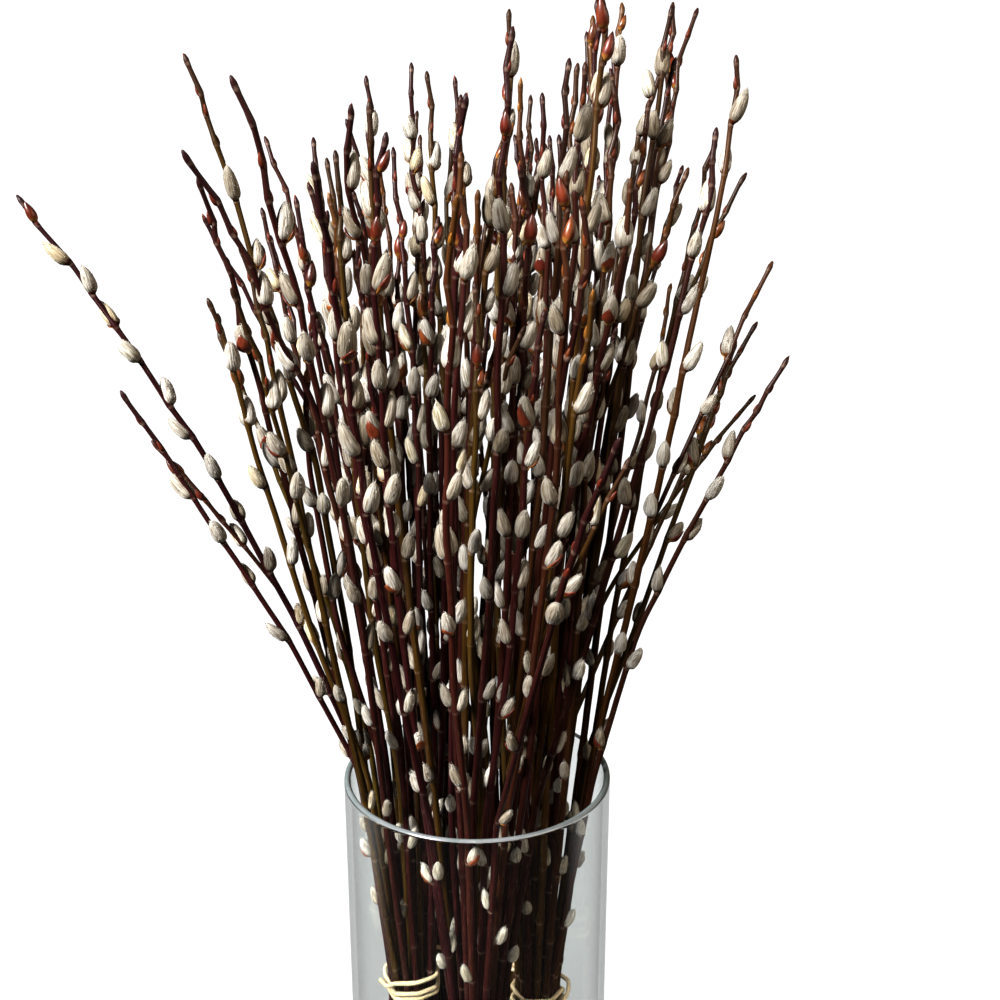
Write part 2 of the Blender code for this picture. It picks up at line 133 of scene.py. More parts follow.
# Each bunch: its rods, the middle of its tie, its band's upper turn and the side where the band crosses,
# the middle of its crown and the heights of the tips there, and the tips that stand out of the crown.
BUNCHES = {
    "left": SimpleNamespace(
        rods=24, tie=(-0.04, 0.003), band=0.124, crossing=200, crown=(-0.087, -0.009), tips=(0.511, 0.632),
        heads=((-0.227, 0.0, 0.568), (-0.18, -0.02, 0.473), (-0.137, 0.0, 0.633),
               (-0.085, -0.12, 0.603), (-0.125, -0.035, 0.573), (-0.15, 0.035, 0.508))),
    "right": SimpleNamespace(
        rods=22, tie=(0.036, 0.003), band=0.111, crossing=-20, crown=(0.071, 0.016), tips=(0.535, 0.672),
        heads=((0.06, 0.0, 0.658), (0.078, 0.03, 0.663), (0.107, 0.05, 0.668), (0.133, 0.0, 0.633),
               (0.128, 0.045, 0.598), (0.15, 0.05, 0.503), (0.166, -0.005, 0.488))),
    "front": SimpleNamespace(
        rods=20, tie=(0.0, -0.038), band=0.107, crossing=-60, crown=(0.022, -0.084), tips=(0.504, 0.635),
        heads=((-0.05, -0.15, 0.568), (-0.047, -0.06, 0.603), (0.015, -0.08, 0.628),
               (0.049, -0.195, 0.478), (0.113, -0.05, 0.593))),
    "rear_left": SimpleNamespace(
        rods=22, tie=(-0.022, 0.042), band=0.118, crossing=110, crown=(-0.032, 0.099), tips=(0.515, 0.64),
        heads=((-0.066, 0.08, 0.638), (-0.043, 0.1, 0.648), (-0.019, 0.12, 0.613),
               (-0.009, 0.05, 0.623), (-0.13, 0.14, 0.553))),
    "rear_right": SimpleNamespace(
        rods=20, tie=(0.024, 0.041), band=0.114, crossing=60, crown=(0.04, 0.1), tips=(0.56, 0.676),
        heads=((0.12, 0.1, 0.678), (0.123, 0.12, 0.523), (0.165, 0.1, 0.488), (0.176, 0.125, 0.453),
               (0.045, 0.1, 0.608), (0.1, 0.08, 0.653), (0.08, 0.18, 0.593))),
}


def hex_cluster(count):
    """The points of a hexagonal packing nearest a point beside its middle, in rod pitches."""
    points = []
    for row in range(-4, 5):
        for column in range(-4, 5):
            points.append((column + 0.5 * (row % 2) - PACKING_MIDDLE[0],
                           row * math.sqrt(0.75) - PACKING_MIDDLE[1]))
    return sorted(points, key=lambda point: math.hypot(*point))[:count]


def neighbour_pairs(points):
    """Pairs of touching rods that use every rod once, with the most hemmed-in rod paired first."""
    free = set(range(len(points)))

    def rank(i):
        beside = [j for j in free if j != i and math.dist(points[i], points[j]) < TOUCHING]
        return len(beside), -math.hypot(*points[i])

    pairs = []
    while free:
        first = min(sorted(free), key=rank)
        beside = [j for j in sorted(free) if j != first and math.dist(points[first], points[j]) < TOUCHING]
        second = min(beside, key=rank)
        pairs.append((first, second))
        free -= {first, second}
    return pairs


def tips_of(bunch, offsets, rng):
    """A tip for each rod: those that stand out go to rods on their side, and the rest fan out evenly."""
    tips = {}
    crown = np.array(bunch.crown)
    reach = [(math.dist(head[:2], crown + CROWN_SPREAD * offset), h, i)
             for h, head in enumerate(bunch.heads) for i, offset in enumerate(offsets)]
    given = set()
    for _, h, i in sorted(reach):
        if h not in given and i not in tips:
            tips[i] = np.array(bunch.heads[h])
            given.add(h)
    for i, offset in enumerate(offsets):
        if i not in tips:
            place = crown + CROWN_SPREAD * rng.uniform(*FAN_SHARES) * offset
            place += np.array([rng.uniform(-CROWN_SCATTER, CROWN_SCATTER) for _ in range(2)])
            tips[i] = np.array([*place, rng.uniform(*bunch.tips)])
    return tips


def rod_path(bunch, offset, tip, rng):
    """Points at the levels: up from the tie, held inside the rim, then slightly bent out to the tip."""
    path = np.zeros((len(LEVELS), 2))
    tie = np.array(bunch.tie) + offset
    share = (VASE_HEIGHT - TIE_HEIGHT) / (tip[2] - TIE_HEIGHT)
    straight = tie + (tip[:2] - tie) * share
    fanned = np.array(bunch.tie) * RIM_PUSH + RIM_SPREAD * offset
    rim = (1 - RIM_FAN) * straight + RIM_FAN * fanned
    limit = VASE_RADIUS - VASE_WALL - RIM_CLEARANCE
    rim *= min(1.0, limit / np.linalg.norm(rim))
    bend = rng.uniform(*ROD_BENDS)
    wander = np.array([rng.uniform(-ROD_WANDER, ROD_WANDER) for _ in range(2)])
    path[1], path[2] = tie, rim
    for k in range(3, len(LEVELS)):
        u = (LEVELS[k] - VASE_HEIGHT) / (tip[2] - VASE_HEIGHT)
        reach = u if u > 1 else u * (1 - bend) + bend * u * u
        path[k] = rim + (tip[:2] - rim) * reach + wander * math.sin(math.pi * min(u, 1))
    return path


def make_shoots(rng):
    """Every rod as its centre at each level. Two touching rods make a branch, forked near its heel."""
    shoots = []
    branch = 0
    for name, bunch in BUNCHES.items():
        points = hex_cluster(bunch.rods)
        offsets = [np.array(point) * ROD_PITCH for point in points]
        tips = tips_of(bunch, offsets, rng)
        for pair in neighbour_pairs(points):
            branch += 1
            for order, i in enumerate(pair):
                path = rod_path(bunch, offsets[i], tips[i], rng)
                path[0] = np.array(bunch.tie) + HEEL_SPREAD * offsets[pair[0]]
                shoots.append(SimpleNamespace(
                    branch=branch, bunch=name, parent=len(shoots) - 1 if order else None,
                    root=FORK_HEIGHT if order else LEVELS[0], tip=tips[i][2], path=path,
                    girth=rng.uniform(*GIRTHS)))
    return shoots


def add_side_shoots(shoots, rng):
    """Thin shoots that leave a rod in the crown."""
    rods = list(range(len(shoots)))
    rng.shuffle(rods)
    added = 0
    for index in rods:
        rod = shoots[index]
        root = rng.choice(SIDE_SHOOT_ROOTS) + rng.uniform(0.0, SIDE_SHOOT_RISE)
        tip = root + rng.uniform(*SIDE_SHOOT_HEIGHTS)
        if added == SIDE_SHOOTS or tip > rod.tip + 0.01:
            continue
        k = int(np.searchsorted(LEVELS, root))
        turn = rng.choice((-1, 1)) * rng.uniform(0.3, 1.3)
        heading = math.atan2(rod.path[k][1], rod.path[k][0]) + turn
        slope = (rod.path[k] - rod.path[k - 1]) / (LEVELS[k] - LEVELS[k - 1])
        slope += rng.uniform(*SIDE_SHOOT_SLOPES) * np.array([math.cos(heading), math.sin(heading)])
        path = rod.path.copy()
        path[k - 1:] = centre(rod, root) + slope * (LEVELS[k - 1:, None] - root)
        shoots.append(SimpleNamespace(
            branch=rod.branch, bunch=rod.bunch, parent=index, root=root, tip=tip, path=path,
            girth=SIDE_SHOOT_GIRTH))
        added += 1


def centre(shoot, z):
    """The shoot's centre at a height, straight between its rings."""
    return np.array([np.interp(z, LEVELS, shoot.path[:, 0]), np.interp(z, LEVELS, shoot.path[:, 1])])


def radius(shoot, z):
    """A rod narrows a little from its heel to the tie, and then to its tip."""
    tied = ROD_RADIUS_AT_TIE * shoot.girth
    if z <= TIE_HEIGHT:
        heel = HEEL_RADIUS if shoot.parent is None else 0.8 * HEEL_RADIUS
        return heel + (tied - heel) * (z - LEVELS[0]) / (TIE_HEIGHT - LEVELS[0])
    down = max(shoot.tip - z, 0) / (FULL_LENGTH - TIE_HEIGHT)
    return min(tied, TIP_RADIUS + (tied - TIP_RADIUS) * down ** 0.8)


def part_shoots(shoots):
    """Moves rods aside, level by level, until none comes nearer another than its gap."""
    first, second = np.triu_indices(len(shoots), 1)
    gaps = np.array([*ROD_GAPS[:2], *[ROD_GAPS[2]] * (len(LEVELS) - 2)])
    radii = np.array([[radius(s, max(z, s.root)) for z in LEVELS] for s in shoots])
    path = np.array([s.path for s in shoots])
    home = path.copy()
    roots, tips = np.array([s.root for s in shoots]), np.array([s.tip for s in shoots])
    parents = np.array([-1 if s.parent is None else s.parent for s in shoots])
    branch = np.array([s.branch for s in shoots])
    root_level = np.searchsorted(LEVELS, roots, side="right") - 1
    related = (parents[first] == second) | (parents[second] == first)
    related |= (parents[first] == parents[second]) & (parents[first] >= 0)
    young = np.maximum(root_level[first], root_level[second])
    for turn in range(PARTING_ROUNDS):
        worst = 0.0
        move = np.zeros_like(path)
        for k in range(len(LEVELS) - 1):
            low, high = LEVELS[k], LEVELS[k + 1]
            start = np.clip((roots - low) / (high - low), 0, 1)
            end = np.clip((tips - low) / (high - low), 0, 1)
            a = np.maximum(start[first], start[second])
            b = np.minimum(end[first], end[second])
            live = (b > a) & ~(related & (young == k))
            if k == 0:
                live &= branch[first] != branch[second]
            i, j, a, b = first[live], second[live], a[live], b[live]
            apart = path[i, k] - path[j, k]
            change = path[i, k + 1] - path[j, k + 1] - apart
            t = np.clip(-(apart * change).sum(1) / np.maximum((change ** 2).sum(1), 1e-12), a, b)
            away = apart + change * t[:, None]
            distance = np.maximum(np.linalg.norm(away, axis=1), 1e-6)
            below = radii[i, k] + radii[j, k] + gaps[k]
            above = radii[i, k + 1] + radii[j, k + 1] + gaps[k + 1]
            short = below * (1 - t) + above * t - distance
            bad = short > 0
            if not bad.any():
                continue
            worst = max(worst, float(short[bad].max()))
            step = away[bad] / distance[bad, None] * (short[bad] * 0.5 + 2e-5)[:, None]
            for rods, sign in ((i[bad], 1), (j[bad], -1)):
                np.add.at(move[:, k], rods, sign * step * (1 - t[bad])[:, None])
                np.add.at(move[:, k + 1], rods, sign * step * t[bad][:, None])
        path += move
        if turn < HOMING_ROUNDS:
            path[:, 1:] += HOMING * (home[:, 1:] - path[:, 1:])
        for k in (0, 2):
            reach = np.linalg.norm(path[:, k], axis=1)
            limit = VASE_RADIUS - VASE_WALL - radii[:, k] - WALL_GAP
            over = reach > limit
            path[over, k] *= (limit / reach)[over, None]
        for n in np.flatnonzero(parents >= 0):
            k, parent = root_level[n], parents[n]
            u = (roots[n] - LEVELS[k]) / (LEVELS[k + 1] - LEVELS[k])
            start = path[parent, k] * (1 - u) + path[parent, k + 1] * u
            path[n, k] = (start - u * path[n, k + 1]) / (1 - u)
        if worst < SETTLED and turn > HOMING_ROUNDS:
            break
    for shoot, placed in zip(shoots, path):
        shoot.path = placed


def catkin_at(shoot, z, turn, length, girth):
    """A catkin rooted in the shoot at a height and leaning out on the side it's turned to."""
    base = np.array([*centre(shoot, z), z])
    rise = np.array([*centre(shoot, z + 0.01), z + 0.01]) - base
    rise /= np.linalg.norm(rise)
    side = np.array([math.cos(turn), math.sin(turn), 0])
    side -= rise * (side @ rise)
    side /= np.linalg.norm(side)
    axis = rise * math.cos(CATKIN_LEAN) + side * math.sin(CATKIN_LEAN)
    root = base + side * CATKIN_SEAT * radius(shoot, z) - axis * CATKIN_SINK
    return SimpleNamespace(root=root, axis=axis, side=side, length=length, radius=girth, z=z, turn=turn)


def place_catkins(shoots, rng):
    """Catkins up each shoot in a spiral, sparser below. One with no room on any side is left off."""
    heights = np.arange(LOWEST_CATKIN, LEVELS[-1] + 0.02, HEIGHT_STEP)
    lines = np.array([[np.interp(heights, LEVELS, s.path[:, 0]), np.interp(heights, LEVELS, s.path[:, 1])]
                      for s in shoots])
    thick = np.array([[radius(s, z) if s.root - 0.004 < z < s.tip + 0.003 else -1.0 for z in heights]
                      for s in shoots])
    taken, sizes, catkins = np.zeros((0, 3)), np.zeros(0), []

    def clear(index, catkin):
        points = catkin.root + catkin.axis * (CATKIN_STATIONS * catkin.length)[:, None]
        bulge = CATKIN_BULGES * catkin.radius + CATKIN_GAP
        inside = points[:, 2] < VASE_HEIGHT + 0.006
        wall = VASE_RADIUS - VASE_WALL - bulge
        if (inside & (np.hypot(points[:, 0], points[:, 1]) > wall)).any():
            return False
        level = ((points[:, 2] - heights[0]) / HEIGHT_STEP).round().astype(int).clip(0, len(heights) - 1)
        gap = np.hypot(lines[:, 0, level] - points[:, 0], lines[:, 1, level] - points[:, 1])
        near = (gap * 0.97 < thick[:, level] + bulge) & (thick[:, level] > 0)
        near[index] = False
        if near.any():
            return False
        if not len(taken):
            return True
        apart = np.linalg.norm(taken[:, None] - points[None], axis=2)
        return not (apart < sizes[:, None] + bulge[None]).any()

    for index, shoot in enumerate(shoots):
        spacing = rng.uniform(*CATKIN_SPACING)
        z = shoot.tip - rng.uniform(*BARE_TIP)
        turn = rng.uniform(0, 2 * math.pi)
        lowest = max(LOWEST_CATKIN, shoot.root + 0.018)
        number = 0
        while z > lowest:
            length = CATKIN_SINK + np.interp(z, CATKIN_GROWTH, CATKIN_LENGTHS) * rng.uniform(*LENGTH_SCATTER)
            girth = np.interp(z, CATKIN_GROWTH, CATKIN_RADII) * rng.uniform(*GIRTH_SCATTER)
            for aside in ASIDES:
                catkin = catkin_at(shoot, z, turn + aside, length, girth)
                if clear(index, catkin):
                    catkin.shoot, catkin.modelled = index, number % MODELLED_CATKINS == 0
                    number += 1
                    catkins.append(catkin)
                    points = catkin.root + catkin.axis * (CATKIN_STATIONS * length)[:, None]
                    taken = np.concatenate([taken, points])
                    sizes = np.concatenate([sizes, CATKIN_BULGES * girth])
                    break
            turn += DIVERGENCE + rng.uniform(-SPIRAL_SCATTER, SPIRAL_SCATTER)
            sparser = 1 + SPARSER_BELOW * max(0.0, DENSE_ABOVE - z)
            z -= spacing * sparser * rng.uniform(*SPACING_SCATTER)
    return catkins


def band_corner(rods, z, angle, half, reach):
    """Where two straight lines laid against the rods, each turned half a step from this angle, cross."""
    lines = []
    for turned in (angle - half, angle + half):
        out = np.array([math.cos(turned), math.sin(turned)])
        lines.append((out, max(centre(rod, z) @ out + radius(rod, z) for rod in rods) + reach))
    return np.linalg.solve([out for out, _ in lines], [distance for _, distance in lines])


# The shoots as they're seen: smoothed, kinked at each bud and hooked at the tip.

ROUNDING = 0.009
NODE_GAPS = (0.03, 0.048)
BUD_GAPS = (0.009, 0.016)
BUD_SIZES = (0.75, 1.15)
TURN_SCATTER = 0.3
FIRST_BUD_DROP, BUDS_OVER_CATKINS = 0.004, 0.011
FIRST_SCARS, SCARS_UNDER_CATKINS = (0.015, 0.03), 0.02
KINK_HEIGHTS = (0.28, 0.58)
KINKS = (0.00018, 0.0016)
HOOKS, HOOK_LENGTHS = (0.001, 0.008), (0.045, 0.09)
WAVES, WAVE_LENGTHS = (0.0004, 0.0013), (0.05, 0.09)
WAVES_FROM, WAVES_FULL = 0.32, 0.54
OLIVE_RIGHT_OF = 0.09
RING_GAP = 0.007
NODE_RINGS = (-0.003, -0.0012, 0.0, 0.0014, 0.004)
ROD_SIDES = 8
STOUTER, STOUTER_OVER = 0.12, 0.15


def unit(vectors):
    """The same directions at length one."""
    return vectors / np.linalg.norm(vectors, axis=-1, keepdims=True)


def direction(angle):
    """The level direction at an angle."""
    return np.array([math.cos(angle), math.sin(angle)])


def drawn_aside(sizes, rng):
    """A level vector of a random direction and size."""
    way = direction(rng.uniform(0, 2 * math.pi))
    return rng.uniform(*sizes) * way


def smooth_centre(shoot, z):
    """The centre at an array of heights, with the bends at its rings rounded off."""
    points = np.zeros((len(z), 2))
    for aside in (-1.0, -0.5, 0.0, 0.5, 1.0):
        at = z + aside * ROUNDING
        points += np.stack([np.interp(at, LEVELS, shoot.path[:, k]) for k in (0, 1)], 1)
    return points / 5


def settle_shoots(shoots, catkins, rng):
    """Gives each shoot its buds, its zigzag between them and its hooked tip."""
    for index, shoot in enumerate(shoots):
        own = [c for c in catkins if c.shoot == index]
        shoot.buds = []
        top = max((c.z for c in own), default=shoot.root)
        z = shoot.tip - FIRST_BUD_DROP
        turn = rng.uniform(0, 2 * math.pi)
        while z > top + BUDS_OVER_CATKINS:
            shoot.buds.append((z, turn, rng.uniform(*BUD_SIZES)))
            z -= rng.uniform(*BUD_GAPS)
            turn += DIVERGENCE + rng.uniform(-TURN_SCATTER, TURN_SCATTER)
        shoot.scars = []
        low = min((c.z for c in own), default=shoot.tip)
        z = max(shoot.root, 0.02) + rng.uniform(*FIRST_SCARS)
        while z < low - SCARS_UNDER_CATKINS:
            shoot.scars.append((z, turn))
            z += rng.uniform(*NODE_GAPS)
            turn += DIVERGENCE + rng.uniform(-TURN_SCATTER, TURN_SCATTER)
        nodes = sorted([(c.z, c.turn) for c in own] + [(z, t) for z, t, _ in shoot.buds] + shoot.scars)
        shoot.nodes = nodes
        heights, asides = [shoot.root], [np.zeros(2)]
        for z, turn in nodes:
            reach = KINKS[0] + KINKS[1] * np.interp(z, KINK_HEIGHTS, (0, 1)) ** 1.5
            heights.append(z)
            asides.append(-reach * rng.uniform(0.4, 1.0) * direction(turn))
        shoot.kink_heights, shoot.kinks = np.array(heights), np.array(asides)
        shoot.hook, shoot.hook_length = drawn_aside(HOOKS, rng), rng.uniform(*HOOK_LENGTHS)
        shoot.wave, shoot.wave_length = drawn_aside(WAVES, rng), rng.uniform(*WAVE_LENGTHS)
        olive = shoot.path[-2][0] > OLIVE_RIGHT_OF
        shoot.tone = rng.uniform(0.5, 1.0) if olive else rng.uniform(0.0, 1.0) ** 1.6
        shoot.shade = rng.random()


def aside(shoot, z):
    """How far the shoot as it's seen lies from its smooth centre, at an array of heights."""
    off = np.stack([np.interp(z, shoot.kink_heights, shoot.kinks[:, k]) for k in (0, 1)], 1)
    end = np.clip((z - (shoot.tip - shoot.hook_length)) / shoot.hook_length, 0, 1.1)[:, None]
    off += shoot.hook * end ** 2.2
    high = np.interp(z, (WAVES_FROM, WAVES_FULL), (0, 1))[:, None]
    off += shoot.wave * high * np.sin((z - shoot.root) * 2 * math.pi / shoot.wave_length)[:, None]
    return off * np.clip((z - shoot.root) / 0.02, 0, 1)[:, None]


def seen_centre(shoot, z):
    """Points on the shoot's middle line as it's seen."""
    z = np.atleast_1d(np.asarray(z, float))
    return np.concatenate([smooth_centre(shoot, z) + aside(shoot, z), z[:, None]], 1)


# Surfaces, gathered piece by piece from rings of points.

class Skin:
    """Closed surfaces gathered into one mesh, with named values for each point."""

    def __init__(self):
        self.points, self.faces, self.values, self.count = [], [], {}, 0

    def add(self, points, faces, **values):
        self.points.append(points)
        self.faces.append(faces + self.count)
        self.count += len(points)
        for name, value in values.items():
            value = np.asarray(value, float)
            shape = (len(points), 3) if name == "lay" else (len(points),)
            self.values.setdefault(name, []).append(np.broadcast_to(value, shape))

    def piece(self, name, material, nodes, slot):
        obj = add_mesh(name, np.concatenate(self.points), np.concatenate(self.faces), material)
        for key, parts in self.values.items():
            kind, field = ("FLOAT_VECTOR", "vector") if key == "lay" else ("FLOAT", "value")
            attribute = obj.data.attributes.new(key, kind, "POINT")
            attribute.data.foreach_set(field, np.concatenate(parts).ravel())
        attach(obj, "root")
        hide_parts(*nodes)
        return obj


def linked(obj):
    """The object, put in the scene."""
    bpy.context.scene.collection.objects.link(obj)
    return obj


def add_mesh(name, points, faces, material):
    """A smooth mesh in the scene."""
    mesh = bpy.data.meshes.new(name)
    mesh.from_pydata(np.asarray(points).tolist(), [], np.asarray(faces).tolist())
    mesh.polygons.foreach_set("use_smooth", [True] * len(mesh.polygons))
    mesh.materials.append(material)
    return linked(bpy.data.objects.new(name, mesh))


def ring_faces(rings, sides, closed=False):
    """Triangles between rings of points: joined up in a loop, or with a point at each end, listed last."""
    faces = []
    side = np.arange(sides)
    after = (side + 1) % sides
    for ring in range(rings if closed else rings - 1):
        a, b = ring * sides, (ring + 1) % rings * sides
        faces.append(np.stack([a + side, a + after, b + after], 1))
        faces.append(np.stack([a + side, b + after, b + side], 1))
    if not closed:
        top = (rings - 1) * sides
        faces.append(np.stack([np.full(sides, rings * sides), after, side], 1))
        faces.append(np.stack([np.full(sides, rings * sides + 1), top + side, top + after], 1))
    return np.concatenate(faces)


def ring_points(middles, first, second, widths, cos, sin):
    """Rings of points round a line of middles, in the plane of two directions."""
    across = cos[:, None] * np.atleast_2d(first)[:, None] + sin[:, None] * np.atleast_2d(second)[:, None]
    return middles[:, None] + across * widths[:, :, None]


def by_ring(values, sides, first=0.0, last=1.0):
    """Each ring's value for each of its points, and then the values at the two end points."""
    return np.append(np.repeat(values, sides), [first, last])


def frames_along(rise, reference):
    """Two directions across a line at each of its points, from its own directions there."""
    first = unit(reference - rise * (rise @ reference)[:, None])
    return first, np.cross(rise, first)


SWELL_BELOW, SWELL_ABOVE = 0.0022, 0.0035
SWELL_ROUND, SWELL_FACING = 0.13, 0.22
SCAR_DROP, SCAR_LENGTH = 0.0008, 0.0011
FLUTING = 0.04
TIP_SHADE_LENGTH = 0.07
LEAST_RING_GAP = 0.0006
TIP_CAP = 0.0006
LAY_ROUND, LAY_BY_HEIGHT, LAY_BY_ROD = 0.5, 40, 7.0


def around(sides):
    """The angles of a ring's points."""
    return np.arange(sides) * 2 * math.pi / sides


def wrapped(angles, along):
    """Where the pattern lies at each point of rings: round the body, and along it."""
    lay = np.zeros((len(along), len(angles), 3))
    lay[:, :, 0], lay[:, :, 1] = np.cos(angles) * LAY_ROUND, np.sin(angles) * LAY_ROUND
    lay[:, :, 2] = along[:, None]
    return lay


def add_rod(skin, shoot, index):
    """The shoot's bark: swollen on the bud's side at each node, with a scar round it."""
    heights = list(np.arange(shoot.root, shoot.tip - 0.003, RING_GAP))
    for z, _ in shoot.nodes:
        heights += [z + off for off in NODE_RINGS]
    heights = np.array(sorted(h for h in heights if shoot.root <= h <= shoot.tip - 0.0015))
    heights = heights[np.append(True, np.diff(heights) > LEAST_RING_GAP)]
    heights = np.append(heights, shoot.tip - TIP_CAP)
    path = seen_centre(shoot, heights)
    rise = unit(np.gradient(path, axis=0))
    first, second = frames_along(rise, np.array([1.0, 0.0, 0.0]))
    angles = around(ROD_SIDES)
    base = np.array([radius(shoot, z) for z in heights])
    base *= 1 + STOUTER * np.clip((heights - VASE_HEIGHT) / STOUTER_OVER, 0, 1)
    thickness = np.repeat(base[:, None], ROD_SIDES, 1)
    scar = np.zeros_like(thickness)
    for z, turn in shoot.nodes:
        off = heights - z
        swell = np.exp(-(off / np.where(off < 0, SWELL_BELOW, SWELL_ABOVE)) ** 2)
        facing = 0.5 + 0.5 * np.cos(angles - turn)
        thickness *= 1 + swell[:, None] * (SWELL_ROUND + SWELL_FACING * facing[None])
        mark = np.exp(-((off + SCAR_DROP) / SCAR_LENGTH) ** 2)
        scar = np.maximum(scar, mark[:, None] * (0.6 + 0.4 * facing[None]))
    thickness *= 1 + FLUTING * np.sin(3 * angles[None] + index) * np.sin(heights * 260 + index)[:, None]
    thickness[-1] *= 0.55
    rings = ring_points(path, first, second, thickness, np.cos(angles), np.sin(angles))
    points = np.concatenate([rings.reshape(-1, 3), path[:1], path[-1:] + rise[-1:] * TIP_CAP])
    lay = wrapped(angles, heights * LAY_BY_HEIGHT + index * LAY_BY_ROD)
    lay = np.concatenate([lay.reshape(-1, 3), lay[0, :1], lay[-1, :1]])
    share = (heights - shoot.root) / (shoot.tip - shoot.root)
    near_tip = 1 - (shoot.tip - heights) / TIP_SHADE_LENGTH
    # Each ring's share of the rod's height goes with it; the bark paints shade by it, darker towards the
    # base.
    skin.add(points, ring_faces(len(heights), ROD_SIDES), lay=lay, tone=shoot.tone, shade=shoot.shade,
             scar=np.append(scar.ravel(), [0.0, 0.0]), age=by_ring(np.clip(share, 0, 1), ROD_SIDES),
             tip=by_ring(np.clip(near_tip, 0, 1), ROD_SIDES), bud=0.0)


def bowed(root, axis, beside, length, shares, bend):
    """Points up the middle of a body that bows away from one side, at these shares of its length."""
    shares = np.asarray(shares)[..., None]
    return root + axis * (shares * length) - beside * (bend * length * shares ** 2)


def sides_of(axis, out):
    """Two directions across an axis, the second of them on the side that's turned out."""
    across = unit(np.cross(axis, out))
    return across, np.cross(across, axis)


def spindle(root, axis, out, length, widths, shares, sides, bend=0.0, flat=1.0, ridges=None):
    """A closed body along an axis, as points. Its ends are points on the axis."""
    across, beside = sides_of(axis, out)
    angles = around(sides)
    cos, sin = np.cos(angles), np.sin(angles)
    cos = np.where(cos < 0, cos * flat, cos)
    middle = bowed(root, axis, beside, length, shares, bend)
    widths = np.asarray(widths)[1:-1]
    wide = np.repeat(widths[:, None], sides, 1)
    if ridges is not None:
        wide = wide * (1 + ridges)
    rings = ring_points(middle[1:-1], beside, across, wide, cos, sin)
    return np.concatenate([rings.reshape(-1, 3), middle[:1], middle[-1:]]), beside, across, angles


BUD_SHARES = (0.0, 0.12, 0.32, 0.58, 0.82, 1.0)
BUD_WIDTHS = (0.0, 0.75, 1.0, 0.85, 0.45, 0.0)
BUD_LENGTH, BUD_RADIUS, BUD_SIDES = 0.0064, 0.00125, 6
BUD_LEAN, BUD_SEAT = 0.27, 0.55
CLOSED_SHARES = np.array([0.0, 0.08, 0.2, 0.36, 0.52, 0.68, 0.83, 0.94, 1.0])
CLOSED_WIDTHS = np.array([0.0, 0.55, 0.88, 1.0, 0.95, 0.78, 0.5, 0.22, 0.0])
CLOSED_LENGTH, CLOSED_RADIUS, CLOSED_SIDES = 0.0128, 0.0029, 9
CLOSED_BUDS = 2


def bud_frame(shoot, z, turn, lean):
    """Where a bud is rooted, its axis and the side it's on."""
    base, above = seen_centre(shoot, [z, z + 0.004])
    rise = unit(above - base)
    side = np.array([*direction(turn), 0.0])
    side = unit(side - rise * (side @ rise))
    return base, rise * math.cos(lean) + side * math.sin(lean), side


def add_buds(skin, shoot):
    """Narrow buds pressed to the shoot near its tip, and one at its end."""
    for number, (z, turn, size) in enumerate(shoot.buds):
        base, axis, side = bud_frame(shoot, z - 0.002, turn, BUD_LEAN if number else 0.05)
        root = base + side * radius(shoot, z) * (BUD_SEAT if number else 0.0)
        widths = np.array(BUD_WIDTHS) * BUD_RADIUS * size
        points, *_ = spindle(root, axis, side, BUD_LENGTH * size, widths, BUD_SHARES, BUD_SIDES, bend=0.1)
        along = by_ring(BUD_SHARES[1:-1], BUD_SIDES)
        skin.add(points, ring_faces(len(BUD_SHARES) - 2, BUD_SIDES), lay=points * 300, tone=shoot.tone,
                 shade=shoot.shade, scar=0.25 * np.exp(-(along / 0.12) ** 2), age=1.0, tip=0.6,
                 bud=along * 0.5 + 0.5)


CATKIN_SHARES = (0.08, 0.12, 0.18, 0.26, 0.36, 0.47, 0.58, 0.69, 0.79, 0.88, 0.95, 1.0)
CATKIN_WIDTHS = (0.0, 0.46, 0.75, 0.93, 1.0, 1.0, 0.96, 0.87, 0.74, 0.55, 0.33, 0.0)
CATKIN_SIDES = 14
CATKIN_BEND, CATKIN_FLAT = 0.05, 0.86
TUFTS, TUFT_DRIFT = 0.032, 0.04
PLUMPNESS = (0.75, 1.35)
HAIRS = 40
HAIR_SHARES, HAIR_LIFTS = (0.12, 0.97), (0.02, 0.16)
HAIR_LENGTHS, HAIR_WIDTHS = (0.0016, 0.003), (0.0001, 0.00018)
HAIR_FACES = np.array([(0, 1, 2), (0, 3, 1), (1, 3, 2), (2, 3, 0)])


def seen_root(shoot, catkin):
    """The catkin's root moved along with its shoot."""
    moved = seen_centre(shoot, [catkin.z])[0] - np.array([*centre(shoot, catkin.z), catkin.z])
    return catkin.root + moved


